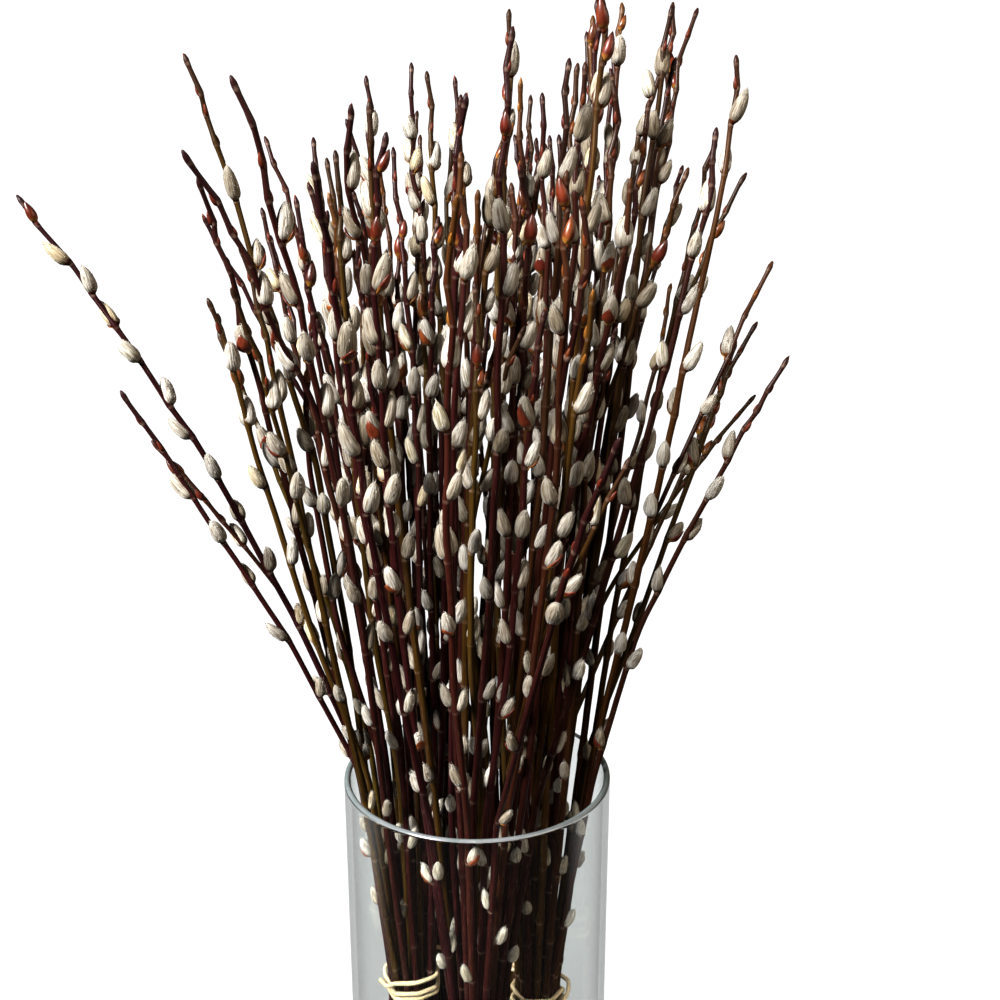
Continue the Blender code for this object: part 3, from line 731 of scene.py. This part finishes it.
def add_catkin(skin, shoot, catkin, rng):
    """An ovoid of silky hair in lengthwise tufts, with loose hairs standing off it towards its tip."""
    root = seen_root(shoot, catkin)
    rings = len(CATKIN_SHARES) - 2
    tuft = rng.normal(0, TUFTS, CATKIN_SIDES)
    drift = rng.normal(0, TUFT_DRIFT, (4, CATKIN_SIDES))
    rows = np.linspace(0, 3, rings)
    low = np.floor(rows).astype(int).clip(0, 2)
    ridges = tuft + drift[low] * (1 - (rows - low))[:, None] + drift[low + 1] * (rows - low)[:, None]
    widths = np.array(CATKIN_WIDTHS) ** rng.uniform(*PLUMPNESS) * catkin.radius
    points, beside, across, angles = spindle(
        root, catkin.axis, catkin.side, catkin.length, widths, CATKIN_SHARES, CATKIN_SIDES,
        bend=CATKIN_BEND, flat=CATKIN_FLAT, ridges=ridges)
    seed = rng.uniform(0, 100)

    def lay(cos, sin, along):
        return np.stack([cos * 1.6 + seed, sin * 1.6, along * 1.3 + seed], 1)

    along = by_ring(CATKIN_SHARES[1:-1], CATKIN_SIDES)
    turns = np.append(np.tile(angles, rings), [0.0, 0.0])
    skin.add(points, ring_faces(rings, CATKIN_SIDES), lay=lay(np.cos(turns), np.sin(turns), along),
             tone=catkin.tone, along=along, hair=0.0)
    t = rng.uniform(*HAIR_SHARES, HAIRS)
    turned = rng.uniform(0, 2 * math.pi, HAIRS)
    cos, sin = np.cos(turned), np.sin(turned)
    cos = np.where(cos < 0, cos * CATKIN_FLAT, cos)
    out = cos[:, None] * beside + sin[:, None] * across
    wide = np.interp(t, CATKIN_SHARES, widths) * 0.9
    start = bowed(root, catkin.axis, beside, catkin.length, t, CATKIN_BEND) + out * wide[:, None]
    lift = rng.uniform(*HAIR_LIFTS, HAIRS)[:, None]
    heading = catkin.axis * np.cos(lift) + out * np.sin(lift)
    taper = np.interp(t, (0.0, 0.45, 1.0), (0.35, 0.0, -0.6))[:, None]
    heading = unit(heading + out * taper * 0.75 + rng.normal(0, 0.06, (HAIRS, 3)))
    reach = rng.uniform(*HAIR_LENGTHS, HAIRS)[:, None]
    half = rng.uniform(*HAIR_WIDTHS, HAIRS)[:, None]
    sideways = unit(np.cross(heading, out))
    corners = np.stack([start + sideways * half, start - sideways * half,
                        start + out * half * 1.2 - heading * half, start + heading * reach + out * half], 1)
    faces = (HAIR_FACES[None] + (np.arange(HAIRS) * 4)[:, None, None]).reshape(-1, 3)
    skin.add(corners.reshape(-1, 3), faces, lay=np.repeat(lay(cos, sin, t), 4, 0), tone=catkin.tone,
             along=np.repeat(t, 4), hair=1.0)


STALK_SHARES = (0.04, 0.07, 0.13, 0.18, 0.21, 0.22)
STALK_WIDTHS = np.array([0.0, 0.34, 0.52, 0.74, 0.62, 0.0])
STALK_SIDES = 8


def add_stalk(skin, shoot, catkin):
    """The short brown foot that holds the catkin to its node, with the rim of the fallen scale."""
    root, widths = seen_root(shoot, catkin), STALK_WIDTHS * catkin.radius
    points, *_ = spindle(root, catkin.axis, catkin.side, catkin.length, widths, STALK_SHARES, STALK_SIDES,
                         bend=CATKIN_BEND, flat=0.8)
    along = by_ring(STALK_SHARES[1:-1], STALK_SIDES, 0.0, 0.2)
    skin.add(points, ring_faces(len(STALK_SHARES) - 2, STALK_SIDES), lay=points * 300, tone=shoot.tone,
             shade=shoot.shade, scar=np.clip((along - 0.12) / 0.06, 0, 1) * 0.5, age=0.9, tip=0.3, bud=0.35)


SCALE_ROWS = np.array([0.02, 0.08, 0.16, 0.26, 0.37, 0.48, 0.6, 0.72, 0.84])
SCALE_SPREAD = np.array([0.6, 0.95, 1.0, 0.98, 0.9, 0.76, 0.56, 0.33, 0.06])
SCALE_FACES_AT = (0.0007, 0.00032)


def shell_faces(side):
    """Triangles of a thin shell: a square of points outside, one inside, and the edge between them."""
    grid = np.arange(side * side).reshape(side, side)
    a, b, c, d = (part.ravel() for part in (grid[:-1, :-1], grid[:-1, 1:], grid[1:, 1:], grid[1:, :-1]))
    outside = np.concatenate([np.stack([a, b, c], 1), np.stack([a, c, d], 1)])
    edge = np.concatenate([grid[0], grid[1:, -1], grid[-1, -2::-1], grid[-2:0:-1, 0]])
    after, inward = np.roll(edge, -1), side * side
    return np.concatenate([outside, outside[:, ::-1] + inward, np.stack([after, edge, edge + inward], 1),
                           np.stack([after, edge + inward, after + inward], 1)])


def add_scale(skin, shoot, catkin):
    """The glossy scale that still covers the outer side of a young catkin: a thin curved shell."""
    root = seen_root(shoot, catkin)
    across, beside = sides_of(catkin.axis, catkin.side)
    side = len(SCALE_ROWS)
    t = np.repeat((SCALE_ROWS * catkin.cover)[:, None], side, 1)
    angle = np.linspace(-1, 1, side)[None] * (SCALE_SPREAD * catkin.wrap)[:, None]
    out = np.cos(angle)[..., None] * beside + np.sin(angle)[..., None] * across
    wide = np.interp(t, CATKIN_SHARES, np.array(CATKIN_WIDTHS) * catkin.radius).clip(0.0009)
    middle = bowed(root, catkin.axis, beside, catkin.length, t, CATKIN_BEND)
    layers = [middle + out * (wide + gap)[..., None] for gap in SCALE_FACES_AT]
    points = np.concatenate(layers).reshape(-1, 3)
    skin.add(points, shell_faces(side), lay=points * 220, along=np.tile(t.ravel(), 2), tone=catkin.tone)


def add_closed_buds(skin, shoots, index, rng):
    """Catkins still shut in their scales: plump pointed red-brown buds at the lowest bare nodes."""
    shoot = shoots[index]
    shut = 0
    for z, turn, size in reversed(shoot.buds):
        if shut == CLOSED_BUDS or z > shoot.tip - 0.012 or rng.random() > 0.5:
            continue
        size *= rng.uniform(0.85, 1.15)
        base, axis, side = bud_frame(shoot, z, turn, 0.26)
        length, wide = CLOSED_LENGTH * size, CLOSED_RADIUS * size
        root = base + side * radius(shoot, z) * 0.4
        middle = root + axis * length * 0.45
        near = [other for other in shoots if other is not shoot and other.root < middle[2] < other.tip
                and math.dist(seen_centre(other, middle[2])[0][:2], middle[:2]) < wide + 0.003]
        if near:
            continue
        points, *_ = spindle(root, axis, side, length, CLOSED_WIDTHS * wide, CLOSED_SHARES, CLOSED_SIDES,
                             bend=0.09, flat=0.8)
        skin.add(points, ring_faces(len(CLOSED_SHARES) - 2, CLOSED_SIDES), lay=points * 220,
                 along=by_ring(CLOSED_SHARES[1:-1], CLOSED_SIDES), tone=rng.random())
        shut += 1


BAND_TURNS, BAND_STEPS, BAND_SIDES = 3, 48, 12
BAND_WAVER = ((0.05, 17, 0), (0.03, 41, 1))
LAY_BY_LENGTH = 60


def add_seen_band(name, bunch, rods, rubber):
    """A rubber band wound on its bunch as a round cord: one turn above two, and back up across them."""
    heights = [bunch.band, bunch.band - BAND_DROPS[0], bunch.band - sum(BAND_DROPS), bunch.band]
    step = 360 / BAND_CORNERS
    last = BAND_TURNS * BAND_CORNERS
    path, thick = [], []
    for n in range(BAND_TURNS * BAND_STEPS):
        place = n / BAND_STEPS
        turn = int(place)
        corner = (place - turn) * BAND_CORNERS
        crossing = max(0.0, corner - (BAND_CORNERS - 2)) / 2
        z = heights[turn] + (heights[turn + 1] - heights[turn]) * crossing
        lifted = np.interp(place * BAND_CORNERS, (0, 1, last - 3, last - 2), (1, 0, 0, 1))
        angle = math.radians(bunch.crossing + step * (corner + 1))
        reach = BAND_GAP + BAND_RADIUS + lifted * (2 * BAND_RADIUS + 2 * BAND_GAP)
        path.append((*band_corner(rods, z, angle, math.pi / BAND_STEPS, reach), z))
        waver = sum(size * math.sin(place * pace + start) for size, pace, start in BAND_WAVER)
        thick.append(BAND_RADIUS * (1 + waver))
    path = np.array(path)
    for _ in range(2):
        path = 0.5 * path + 0.25 * (np.roll(path, 1, 0) + np.roll(path, -1, 0))
    rise = unit(np.roll(path, -1, 0) - np.roll(path, 1, 0))
    first, second = frames_along(rise, np.array([0.0, 0.0, 1.0]))
    angles = around(BAND_SIDES)
    points = ring_points(path, first, second, np.array(thick)[:, None], np.cos(angles), np.sin(angles))
    length = np.linalg.norm(np.roll(path, -1, 0) - path, axis=1).cumsum()
    lay = wrapped(angles, length * LAY_BY_LENGTH)
    skin = Skin()
    skin.add(points.reshape(-1, 3), ring_faces(len(path), BAND_SIDES, closed=True), lay=lay.reshape(-1, 3))
    skin.piece(f"rubber_band_{name}", rubber, [f"band_{name}"], "rubber_band")


VASE_SIDES = 128
FOOT_ROUNDING, FLOOR_ROUNDING = 0.004, 0.008
EDGE_RING = 0.0008
WALL_RINGS = (0.08, 0.17)


def arc(across, height, size, start, end, count):
    """Points of an outline along an arc, by its middle, its radius and the angles at its two ends."""
    return [(across + size * math.cos(angle), height + size * math.sin(angle))
            for angle in np.linspace(start, end, count)]


def add_seen_vase(glass, rim):
    """The cylinder again with a rounded rim and foot and a fine outline."""
    outer, inner, lip = VASE_RADIUS, VASE_RADIUS - VASE_WALL, VASE_WALL / 2
    shoulder, quarter = VASE_HEIGHT - lip, math.pi / 2
    walls = [*WALL_RINGS, shoulder - EDGE_RING, shoulder]
    foot = arc(outer - FOOT_ROUNDING, FOOT_ROUNDING, FOOT_ROUNDING, -quarter, 0, 6)
    bowl = arc(inner - FLOOR_ROUNDING, VASE_FLOOR + FLOOR_ROUNDING, FLOOR_ROUNDING, 0, -quarter, 6)
    outline = [(0.0, 0.0), *foot]
    outline += [(outer, z) for z in (FOOT_ROUNDING + EDGE_RING, *walls)]
    outline += arc(inner + lip, shoulder, lip, 0, math.pi, 9)[1:-1]
    outline += [(inner, z) for z in (*reversed(walls), VASE_FLOOR + FLOOR_ROUNDING + EDGE_RING)]
    outline += [*bowl[1:], (inner - FLOOR_ROUNDING - EDGE_RING, VASE_FLOOR), (0.0, VASE_FLOOR)]
    angles = around(VASE_SIDES)
    across, height = np.array(outline).T
    rings = np.stack([np.outer(across, np.cos(angles)), np.outer(across, np.sin(angles)),
                      np.repeat(height[:, None], VASE_SIDES, 1)], 2)
    skin = Skin()
    skin.add(np.concatenate([rings[1:-1].reshape(-1, 3), rings[0, :1], rings[-1, :1]]),
             ring_faces(len(outline) - 2, VASE_SIDES))
    vase = skin.piece("glass_vase", glass, ["vase"], "vase_glass")
    vase.data.materials.append(rim)
    for face in vase.data.polygons:
        if face.center.z > VASE_HEIGHT - 0.6 * lip:
            face.material_index = 1


# Materials.

class Nodes:
    """The nodes of a new material or world, made and joined in one call each."""

    def __init__(self, block):
        block.use_nodes = True
        self.block, self.tree = block, block.node_tree
        self.shader = self.tree.nodes.get("Principled BSDF") or self.tree.nodes["Background"]

    def feed(self, node, key, value):
        socket = node.inputs[key]
        if isinstance(value, bpy.types.NodeSocket):
            self.tree.links.new(value, socket)
        elif isinstance(value, tuple) and len(value) == 3 and socket.type == "RGBA":
            socket.default_value = (*value, 1)
        else:
            socket.default_value = value

    def add(self, kind, out=0, inputs=(), **settings):
        node = self.tree.nodes.new("ShaderNode" + kind)
        for key, value in settings.items():
            setattr(node, key, value)
        for key, value in dict(inputs).items():
            self.feed(node, key, value)
        return node.outputs[out]

    def value(self, name):
        return self.add("Attribute", "Fac", attribute_name=name)

    def vector(self, name):
        return self.add("Attribute", "Vector", attribute_name=name)

    def maths(self, operation, a, b):
        return self.add("Math", 0, {0: a, 1: b}, operation=operation)

    def scaled(self, vector, size):
        return self.add("VectorMath", 0, {0: vector, 1: size}, operation="MULTIPLY")

    def noise(self, vector, stretch, scale, detail, rough):
        return self.add("TexNoise", "Fac", {"Vector": self.scaled(vector, stretch), "Scale": scale,
                                             "Detail": detail, "Roughness": rough})

    def mix(self, factor, a, b):
        return self.add("Mix", 2, {0: factor, 6: a, 7: b}, data_type="RGBA")

    def ramp(self, factor, stops):
        node = self.tree.nodes.new("ShaderNodeValToRGB")
        elements = node.color_ramp.elements
        while len(elements) > 1:
            elements.remove(elements[-1])
        elements[0].position, elements[0].color = stops[0][0], (*stops[0][1], 1)
        for place, colour in stops[1:]:
            elements.new(place).color = (*colour, 1)
        self.tree.links.new(factor, node.inputs[0])
        return node.outputs[0]

    def span(self, value, low, high, to_low=0.0, to_high=1.0):
        return self.add("MapRange", 0, {0: value, 1: low, 2: high, 3: to_low, 4: to_high})

    def bump(self, height, strength, distance):
        return self.add("Bump", 0, {"Height": height, "Strength": strength, "Distance": distance})

    def tint(self, base, colour, value, low, high, share=1.0):
        """The base, with a share of the colour mixed in as a value goes from low to high."""
        return self.mix(self.span(value, low, high, 0.0, share), base, colour)

    def finish(self, **inputs):
        for key, value in inputs.items():
            self.feed(self.shader, key.replace("_", " "), value)
        return self.block


def material_nodes(name):
    return Nodes(bpy.data.materials.new(name))


def bark_material():
    """Willow bark: wine red to olive and orange-brown, with pale pores and scars and a waxy gloss, and
    painted shade darkening it towards the base.
    """
    n = material_nodes("willow_bark")
    lay, tone, shade = n.vector("lay"), n.value("tone"), n.value("shade")
    hue = n.ramp(tone, [(0.0, (0.046, 0.007, 0.009)), (0.22, (0.058, 0.013, 0.008)),
                        (0.42, (0.043, 0.006, 0.011)), (0.56, (0.06, 0.018, 0.006)),
                        (0.72, (0.076, 0.04, 0.005)), (0.86, (0.098, 0.064, 0.008)),
                        (0.95, (0.112, 0.044, 0.008)), (1.0, (0.054, 0.022, 0.006))])
    streaks = n.noise(lay, (3.0, 3.0, 0.35), 2.2, 4.0, 0.65)
    patchy = n.noise(lay, (1.0, 1.0, 0.25), 1.3, 2.0, 0.5)
    ragged = n.noise(lay, (4.0, 4.0, 1.0), 5.0, 2.0, 0.7)
    colour = n.tint(n.scaled(hue, (0.25, 0.2, 0.2)), hue, streaks, 0.35, 0.68)
    colour = n.tint(colour, (0.12, 0.066, 0.058), patchy, 0.55, 0.78, 0.14)
    colour = n.tint(colour, (0.09, 0.022, 0.009), shade, 0.0, 1.0, 0.22)
    # Painted shade: the bark darkens towards the base of each rod, standing in for the shade low in the
    # bunch and in the vase.
    colour = n.scaled(colour, n.span(n.value("age"), 0.2, 0.75, 0.62, 1.05))
    tips = n.ramp(shade, [(0.0, (0.024, 0.008, 0.01)), (0.7, (0.034, 0.012, 0.011)),
                          (1.0, (0.13, 0.056, 0.01))])
    colour = n.tint(colour, tips, n.value("tip"), 0.25, 1.0, 0.7)
    pores = n.add("TexVoronoi", "Distance", {"Vector": n.scaled(lay, (3.2, 3.2, 0.62)), "Scale": 2.6,
                                             "Randomness": 1.0})
    pore = n.maths("MULTIPLY", n.span(pores, 0.1, 0.16, 1.0, 0.0), n.span(patchy, 0.4, 0.55))
    colour = n.mix(n.maths("MULTIPLY", pore, 0.55), colour, (0.34, 0.22, 0.15))
    buds = n.ramp(shade, [(0.0, (0.13, 0.022, 0.011)), (0.7, (0.16, 0.034, 0.012)),
                          (1.0, (0.3, 0.13, 0.02))])
    colour = n.mix(n.value("bud"), colour, buds)
    scar = n.maths("MULTIPLY", n.span(n.value("scar"), 0.4, 0.8), n.span(ragged, 0.34, 0.54))
    colour = n.mix(n.maths("MULTIPLY", scar, 0.65), colour, (0.3, 0.2, 0.15))
    height = n.maths("ADD", n.maths("MULTIPLY", streaks, 0.8), n.maths("MULTIPLY", pore, 0.8))
    return n.finish(Base_Color=colour, Roughness=n.span(streaks, 0.3, 0.75, 0.3, 0.5),
                    Normal=n.bump(height, 0.45, 0.0004), Coat_Weight=0.05, Coat_Roughness=0.22,
                    Specular_IOR_Level=0.17)


def catkin_material():
    """Silky catkin hair: silver over beige and olive, creased and streaked along its length, with painted
    shade darker towards its foot.
    """
    n = material_nodes("catkin_hair")
    lay, tone, along = n.vector("lay"), n.value("tone"), n.value("along")
    creases = n.noise(lay, (1.9, 1.9, 1.5), 1.5, 1.6, 0.5)
    streaks = n.noise(lay, (3.6, 3.6, 0.9), 1.8, 1.0, 0.5)
    tufts = n.noise(lay, (1.0, 1.0, 1.0), 1.1, 2.0, 0.5)
    under = n.ramp(tone, [(0.0, (0.105, 0.073, 0.04)), (0.35, (0.17, 0.13, 0.084)),
                          (0.7, (0.26, 0.22, 0.165)), (0.9, (0.25, 0.205, 0.09)),
                          (1.0, (0.33, 0.24, 0.125))])
    silver = n.ramp(tone, [(0.0, (0.31, 0.262, 0.19)), (0.5, (0.52, 0.48, 0.412)),
                           (0.8, (0.72, 0.69, 0.64)), (1.0, (0.6, 0.52, 0.37))])
    furred = n.maths("ADD", n.maths("MULTIPLY", creases, 0.6), n.maths("MULTIPLY", streaks, 0.4))
    colour = n.tint(under, silver, furred, 0.38, 0.58)
    colour = n.tint(colour, (0.18, 0.136, 0.085), tufts, 0.52, 0.75, 0.5)
    # Painted shade: the lower part of each catkin is tinted darker brown towards its foot.
    colour = n.tint(colour, (0.15, 0.105, 0.06), along, 0.32, 0.1, 0.6)
    colour = n.tint(colour, (0.72, 0.695, 0.63), along, 0.78, 1.0, 0.2)
    colour = n.mix(n.maths("MULTIPLY", n.value("hair"), 0.3), colour, (0.7, 0.675, 0.62))
    return n.finish(Base_Color=colour, Roughness=0.5, Normal=n.bump(furred, 0.8, 0.0009),
                    Sheen_Weight=0.3, Sheen_Roughness=0.35, Specular_IOR_Level=0.45)


def scale_material():
    """Bud scale: glossy chestnut with a yellow-orange foot and a dark tip."""
    n = material_nodes("bud_scale")
    lay, tone, along = n.vector("lay"), n.value("tone"), n.value("along")
    streaks = n.noise(lay, (1.0, 1.0, 0.4), 1.4, 4.0, 0.6)
    hue = n.ramp(tone, [(0.0, (0.17, 0.025, 0.012)), (0.5, (0.26, 0.05, 0.016)), (0.8, (0.36, 0.12, 0.025)),
                        (1.0, (0.12, 0.028, 0.016))])
    colour = n.tint(n.scaled(hue, (0.4, 0.35, 0.35)), hue, streaks, 0.36, 0.66)
    colour = n.tint(colour, (0.52, 0.27, 0.045), along, 0.28, 0.08, 0.75)
    colour = n.tint(colour, (0.055, 0.018, 0.012), along, 0.62, 0.95, 0.7)
    return n.finish(Base_Color=colour, Roughness=n.span(streaks, 0.3, 0.7, 0.3, 0.48),
                    Normal=n.bump(streaks, 0.45, 0.0004), Coat_Weight=0.25, Coat_Roughness=0.25)


def rubber_material():
    """Cream natural rubber in broad lighter patches, a little darker in the dips of its fine bump."""
    n = material_nodes("natural_rubber")
    lay = n.vector("lay")
    fine = n.noise(lay, (3.0, 3.0, 1.0), 3.0, 4.0, 0.6)
    broad = n.noise(lay, (1.0, 1.0, 1.0), 0.6, 2.0, 0.5)
    colour = n.tint((0.34, 0.25, 0.14), (0.52, 0.42, 0.27), fine, 0.35, 0.7)
    colour = n.tint(colour, (0.6, 0.5, 0.36), broad, 0.4, 0.7, 0.4)
    return n.finish(Base_Color=colour, Roughness=0.58, Normal=n.bump(fine, 0.4, 0.0003),
                    Specular_IOR_Level=0.4, Subsurface_Weight=0.08, Subsurface_Scale=0.002)


def glass_material():
    """Clear glass, faintly grey-green, with the slightest unevenness. Lamps shine through it."""
    n = material_nodes("clear_glass")
    waver = n.noise(n.add("TexCoord", "Object"), (1.0, 1.0, 0.3), 14.0, 2.0, 0.5)
    colour = n.tint((0.785, 0.812, 0.805), (0.82, 0.838, 0.832), waver, 0.3, 0.7)
    colour = n.tint(colour, (0.42, 0.52, 0.49), n.add("LayerWeight", "Facing"), 0.72, 0.97, 0.75)
    clear = n.add("BsdfTransparent", 0, {"Color": (0.97, 0.985, 0.98)})
    shadow = n.add("LightPath", "Is Shadow Ray")
    mixed = n.add("MixShader", 0, {0: shadow, 1: n.shader.outputs[0], 2: clear})
    n.tree.links.new(mixed, n.tree.nodes["Material Output"].inputs["Surface"])
    return n.finish(Base_Color=colour, Roughness=0.0, Transmission_Weight=1.0, IOR=1.46)


def rim_material():
    """The vase's ground rim: pale, slightly milky glass."""
    n = material_nodes("ground_rim")
    cloudy = n.noise(n.add("TexCoord", "Object"), (1.0, 1.0, 1.0), 90.0, 3.0, 0.6)
    colour = n.tint((0.28, 0.32, 0.32), (0.4, 0.41, 0.43), cloudy, 0.3, 0.7)
    colour = n.tint(colour, (0.34, 0.46, 0.42), n.add("LayerWeight", "Facing"), 0.3, 0.9, 0.6)
    return n.finish(Base_Color=colour, Roughness=n.span(cloudy, 0.3, 0.7, 0.12, 0.22),
                    Transmission_Weight=0.45, IOR=1.46, Coat_Weight=0.5, Coat_Roughness=0.1)


HALF = 0.5
PANES_SEEN_THROUGH = 3.5


def seen_by_camera(n, mirrored, further=0.0):
    """One where the camera sees a thing straight or through glass, the given value where glass mirrors it,
    and nothing where the thing only lights others. The world counts its rays as one depth further."""
    path = n.tree.nodes.new("ShaderNodeLightPath").outputs
    unlit = n.maths("LESS_THAN", path["Diffuse Depth"], HALF)
    passed = n.maths("ADD", path["Transmission Depth"], further)
    straight = n.add("Math", 0, {0: path["Ray Depth"], 1: passed, 2: HALF}, operation="COMPARE")
    direct = n.maths("MAXIMUM", straight, path["Is Camera Ray"])
    shallow = n.maths("LESS_THAN", path["Transmission Depth"], PANES_SEEN_THROUGH)
    in_glass = n.maths("MULTIPLY", n.maths("MULTIPLY", path["Is Singular Ray"], shallow), mirrored)
    return n.maths("MULTIPLY", n.maths("MAXIMUM", direct, in_glass), unlit)


def paper_material():
    """Evenly lit white paper that throws no light back. Glass mirrors it only behind the vase."""
    n = material_nodes("white_paper")
    place = n.add("TexCoord", "Object")
    grain = n.noise(place, (1.0, 1.0, 1.0), 60.0, 3.0, 0.6)
    colour = n.tint((0.05, 0.05, 0.05), (0.065, 0.065, 0.065), grain, 0.3, 0.7)
    behind = n.span(n.add("SeparateXYZ", "Y", {0: place}), -0.1, 0.02, 0.0, MIRRORED)
    seen = seen_by_camera(n, behind)
    return n.finish(Base_Color=n.mix(seen, (0.02, 0.02, 0.02), colour), Roughness=0.9,
                    Specular_IOR_Level=0.1, Emission_Color=(1.0, 1.0, 1.0),
                    Emission_Strength=n.maths("MULTIPLY", seen, 0.95))


# The stage: a white sheet that curves up behind, soft lights and the camera.

def add_backdrop(material):
    """A wide white sheet: flat under the vase and curved up behind it."""
    side, front, back, rise, bend = 4.0, -3.5, 2.4, 3.6, 0.9
    outline = [(front, 0.0), (0.0, 0.0), *arc(back - bend, bend, bend, -math.pi / 2, 0, 14), (back, rise)]
    count = len(outline)
    points = [(x, y, z) for x in (-side, side) for y, z in outline]
    faces = [(k, k + count, k + 1 + count, k + 1) for k in range(count - 1)]
    add_mesh("backdrop", points, faces, material)


def add_light(name, place, target, size, power, colour):
    light = bpy.data.lights.new(name, "AREA")
    light.shape = "RECTANGLE"
    light.size, light.size_y = size
    light.energy, light.color = power, colour
    obj = linked(bpy.data.objects.new(name, light))
    obj.location = place
    aim = np.array(target) - np.array(place)
    obj.rotation_euler = (math.atan2(math.hypot(aim[0], aim[1]), -aim[2]), 0, math.atan2(-aim[0], aim[1]))


def add_world():
    """White to look at, and a dim warm white as light, so that the middle of the bunches stays dark."""
    n = Nodes(bpy.data.worlds.new("studio"))
    seen = seen_by_camera(n, 0.5 * MIRRORED, 1.0)
    bpy.context.scene.world = n.finish(Color=n.mix(seen, WORLD_LIGHT, (1.0, 1.0, 1.0)))


def add_camera():
    camera = bpy.data.cameras.new("camera")
    camera.lens, camera.sensor_width, camera.clip_start = CAMERA_LENS, 36, 0.01
    obj = linked(bpy.data.objects.new("camera", camera))
    obj.location = CAMERA_PLACE
    obj.rotation_euler = (math.radians(90 - CAMERA_PITCH), 0, 0)
    bpy.context.scene.camera = obj


WORLD_LIGHT = (0.01, 0.008, 0.007)
MIRRORED = 0.6
VIEW_GAMMA, VIEW_EXPOSURE = 0.84, 0.12
CAMERA_LENS = 36
CAMERA_PITCH = 13.0
CAMERA_PLACE = (0.0128, -0.52, 0.5315)
BARER_ABOVE, BARER_FROM = 0.27, -0.02
THINNED, SLENDER_ABOVE, SLENDER = 0.22, 0.42, 0.9
COVERED, COVERED_HIGH, COVERED_LOW = 0.13, 2.2, 0.8
COVER_LENGTHS, COVER_WRAPS = (0.55, 1.02), (1.0, 1.5)
BUDDED = 0.45
TONE_BY_ROD = 0.16
LIGHTS = {
    "key": ((-1.9, -1.75, 2.18), (0.0, 0.0, 0.42), (0.9, 0.9), 300, (1.0, 1.0, 1.0)),
    "fill": ((1.3, -0.9, 1.1), (0.0, 0.0, 0.4), (1.0, 1.0), 10, (1.0, 0.86, 0.68)),
    "side": ((1.9, 0.4, 0.9), (0.0, 0.0, 0.4), (1.2, 1.2), 5, (1.0, 0.88, 0.72)),
    "back": ((-0.2, 1.5, 1.9), (0.0, 0.0, 0.4), (1.6, 0.8), 5, (1.0, 1.0, 1.0)),
}


def thin_catkins(catkins, rng):
    """Right of the middle the rods are barer, and their upper catkins a little smaller."""
    kept = []
    for catkin in catkins:
        if not catkin.modelled and catkin.z > BARER_ABOVE and catkin.root[0] > BARER_FROM:
            if rng.random() < THINNED:
                continue
            if catkin.z > SLENDER_ABOVE:
                catkin.length *= SLENDER
                catkin.radius *= SLENDER
        kept.append(catkin)
    return kept


def main():
    add_camera()
    shoots = make_shoots(random.Random(SEED))
    add_side_shoots(shoots, random.Random(SEED + 1))
    part_shoots(shoots)
    catkins = place_catkins(shoots, random.Random(SEED + 2))
    catkins = thin_catkins(catkins, random.Random(SEED + 3))
    settle_shoots(shoots, catkins, random.Random(SEED + 4))
    rng = np.random.default_rng(SEED + 5)
    bark, hair, scale = bark_material(), catkin_material(), scale_material()
    for number in sorted({shoot.branch for shoot in shoots}):
        node = f"branch_{number:02d}"
        bark_skin, hair_skin, scale_skin = Skin(), Skin(), Skin()
        for index, shoot in enumerate(shoots):
            if shoot.branch != number:
                continue
            add_rod(bark_skin, shoot, index)
            add_buds(bark_skin, shoot)
            if rng.random() < BUDDED:
                add_closed_buds(scale_skin, shoots, index, rng)
            own = sorted((c for c in catkins if c.shoot == index), key=lambda c: -c.z)
            lean = rng.normal(0, TONE_BY_ROD)
            for order, catkin in enumerate(own):
                catkin.tone = float(np.clip(rng.beta(1.5, 1.5) + lean, 0, 1))
                add_catkin(hair_skin, shoot, catkin, rng)
                add_stalk(bark_skin, shoot, catkin)
                covered = rng.random() < COVERED * (COVERED_HIGH if order < 2 else COVERED_LOW)
                catkin.cover, catkin.wrap = rng.uniform(*COVER_LENGTHS), rng.uniform(*COVER_WRAPS)
                if covered:
                    add_scale(scale_skin, shoot, catkin)
        bark_skin.piece(f"{node}_bark", bark, [node], "bark")
        if hair_skin.count:
            hair_skin.piece(f"{node}_catkins", hair, [node], "catkin")
        if scale_skin.count:
            scale_skin.piece(f"{node}_scales", scale, [node], "bud_scale")
    rubber = rubber_material()
    for name, bunch in BUNCHES.items():
        rods = [s for s in shoots if s.bunch == name and s.root < TIE_HEIGHT]
        add_seen_band(name, bunch, rods, rubber)
    add_seen_vase(glass_material(), rim_material())
    add_backdrop(paper_material())
    for name, settings in LIGHTS.items():
        add_light(name, *settings)
    add_world()
    view = bpy.context.scene.view_settings
    view.view_transform = "Standard"
    view.gamma, view.exposure = VIEW_GAMMA, VIEW_EXPOSURE
    bpy.context.view_layer.update()


main()
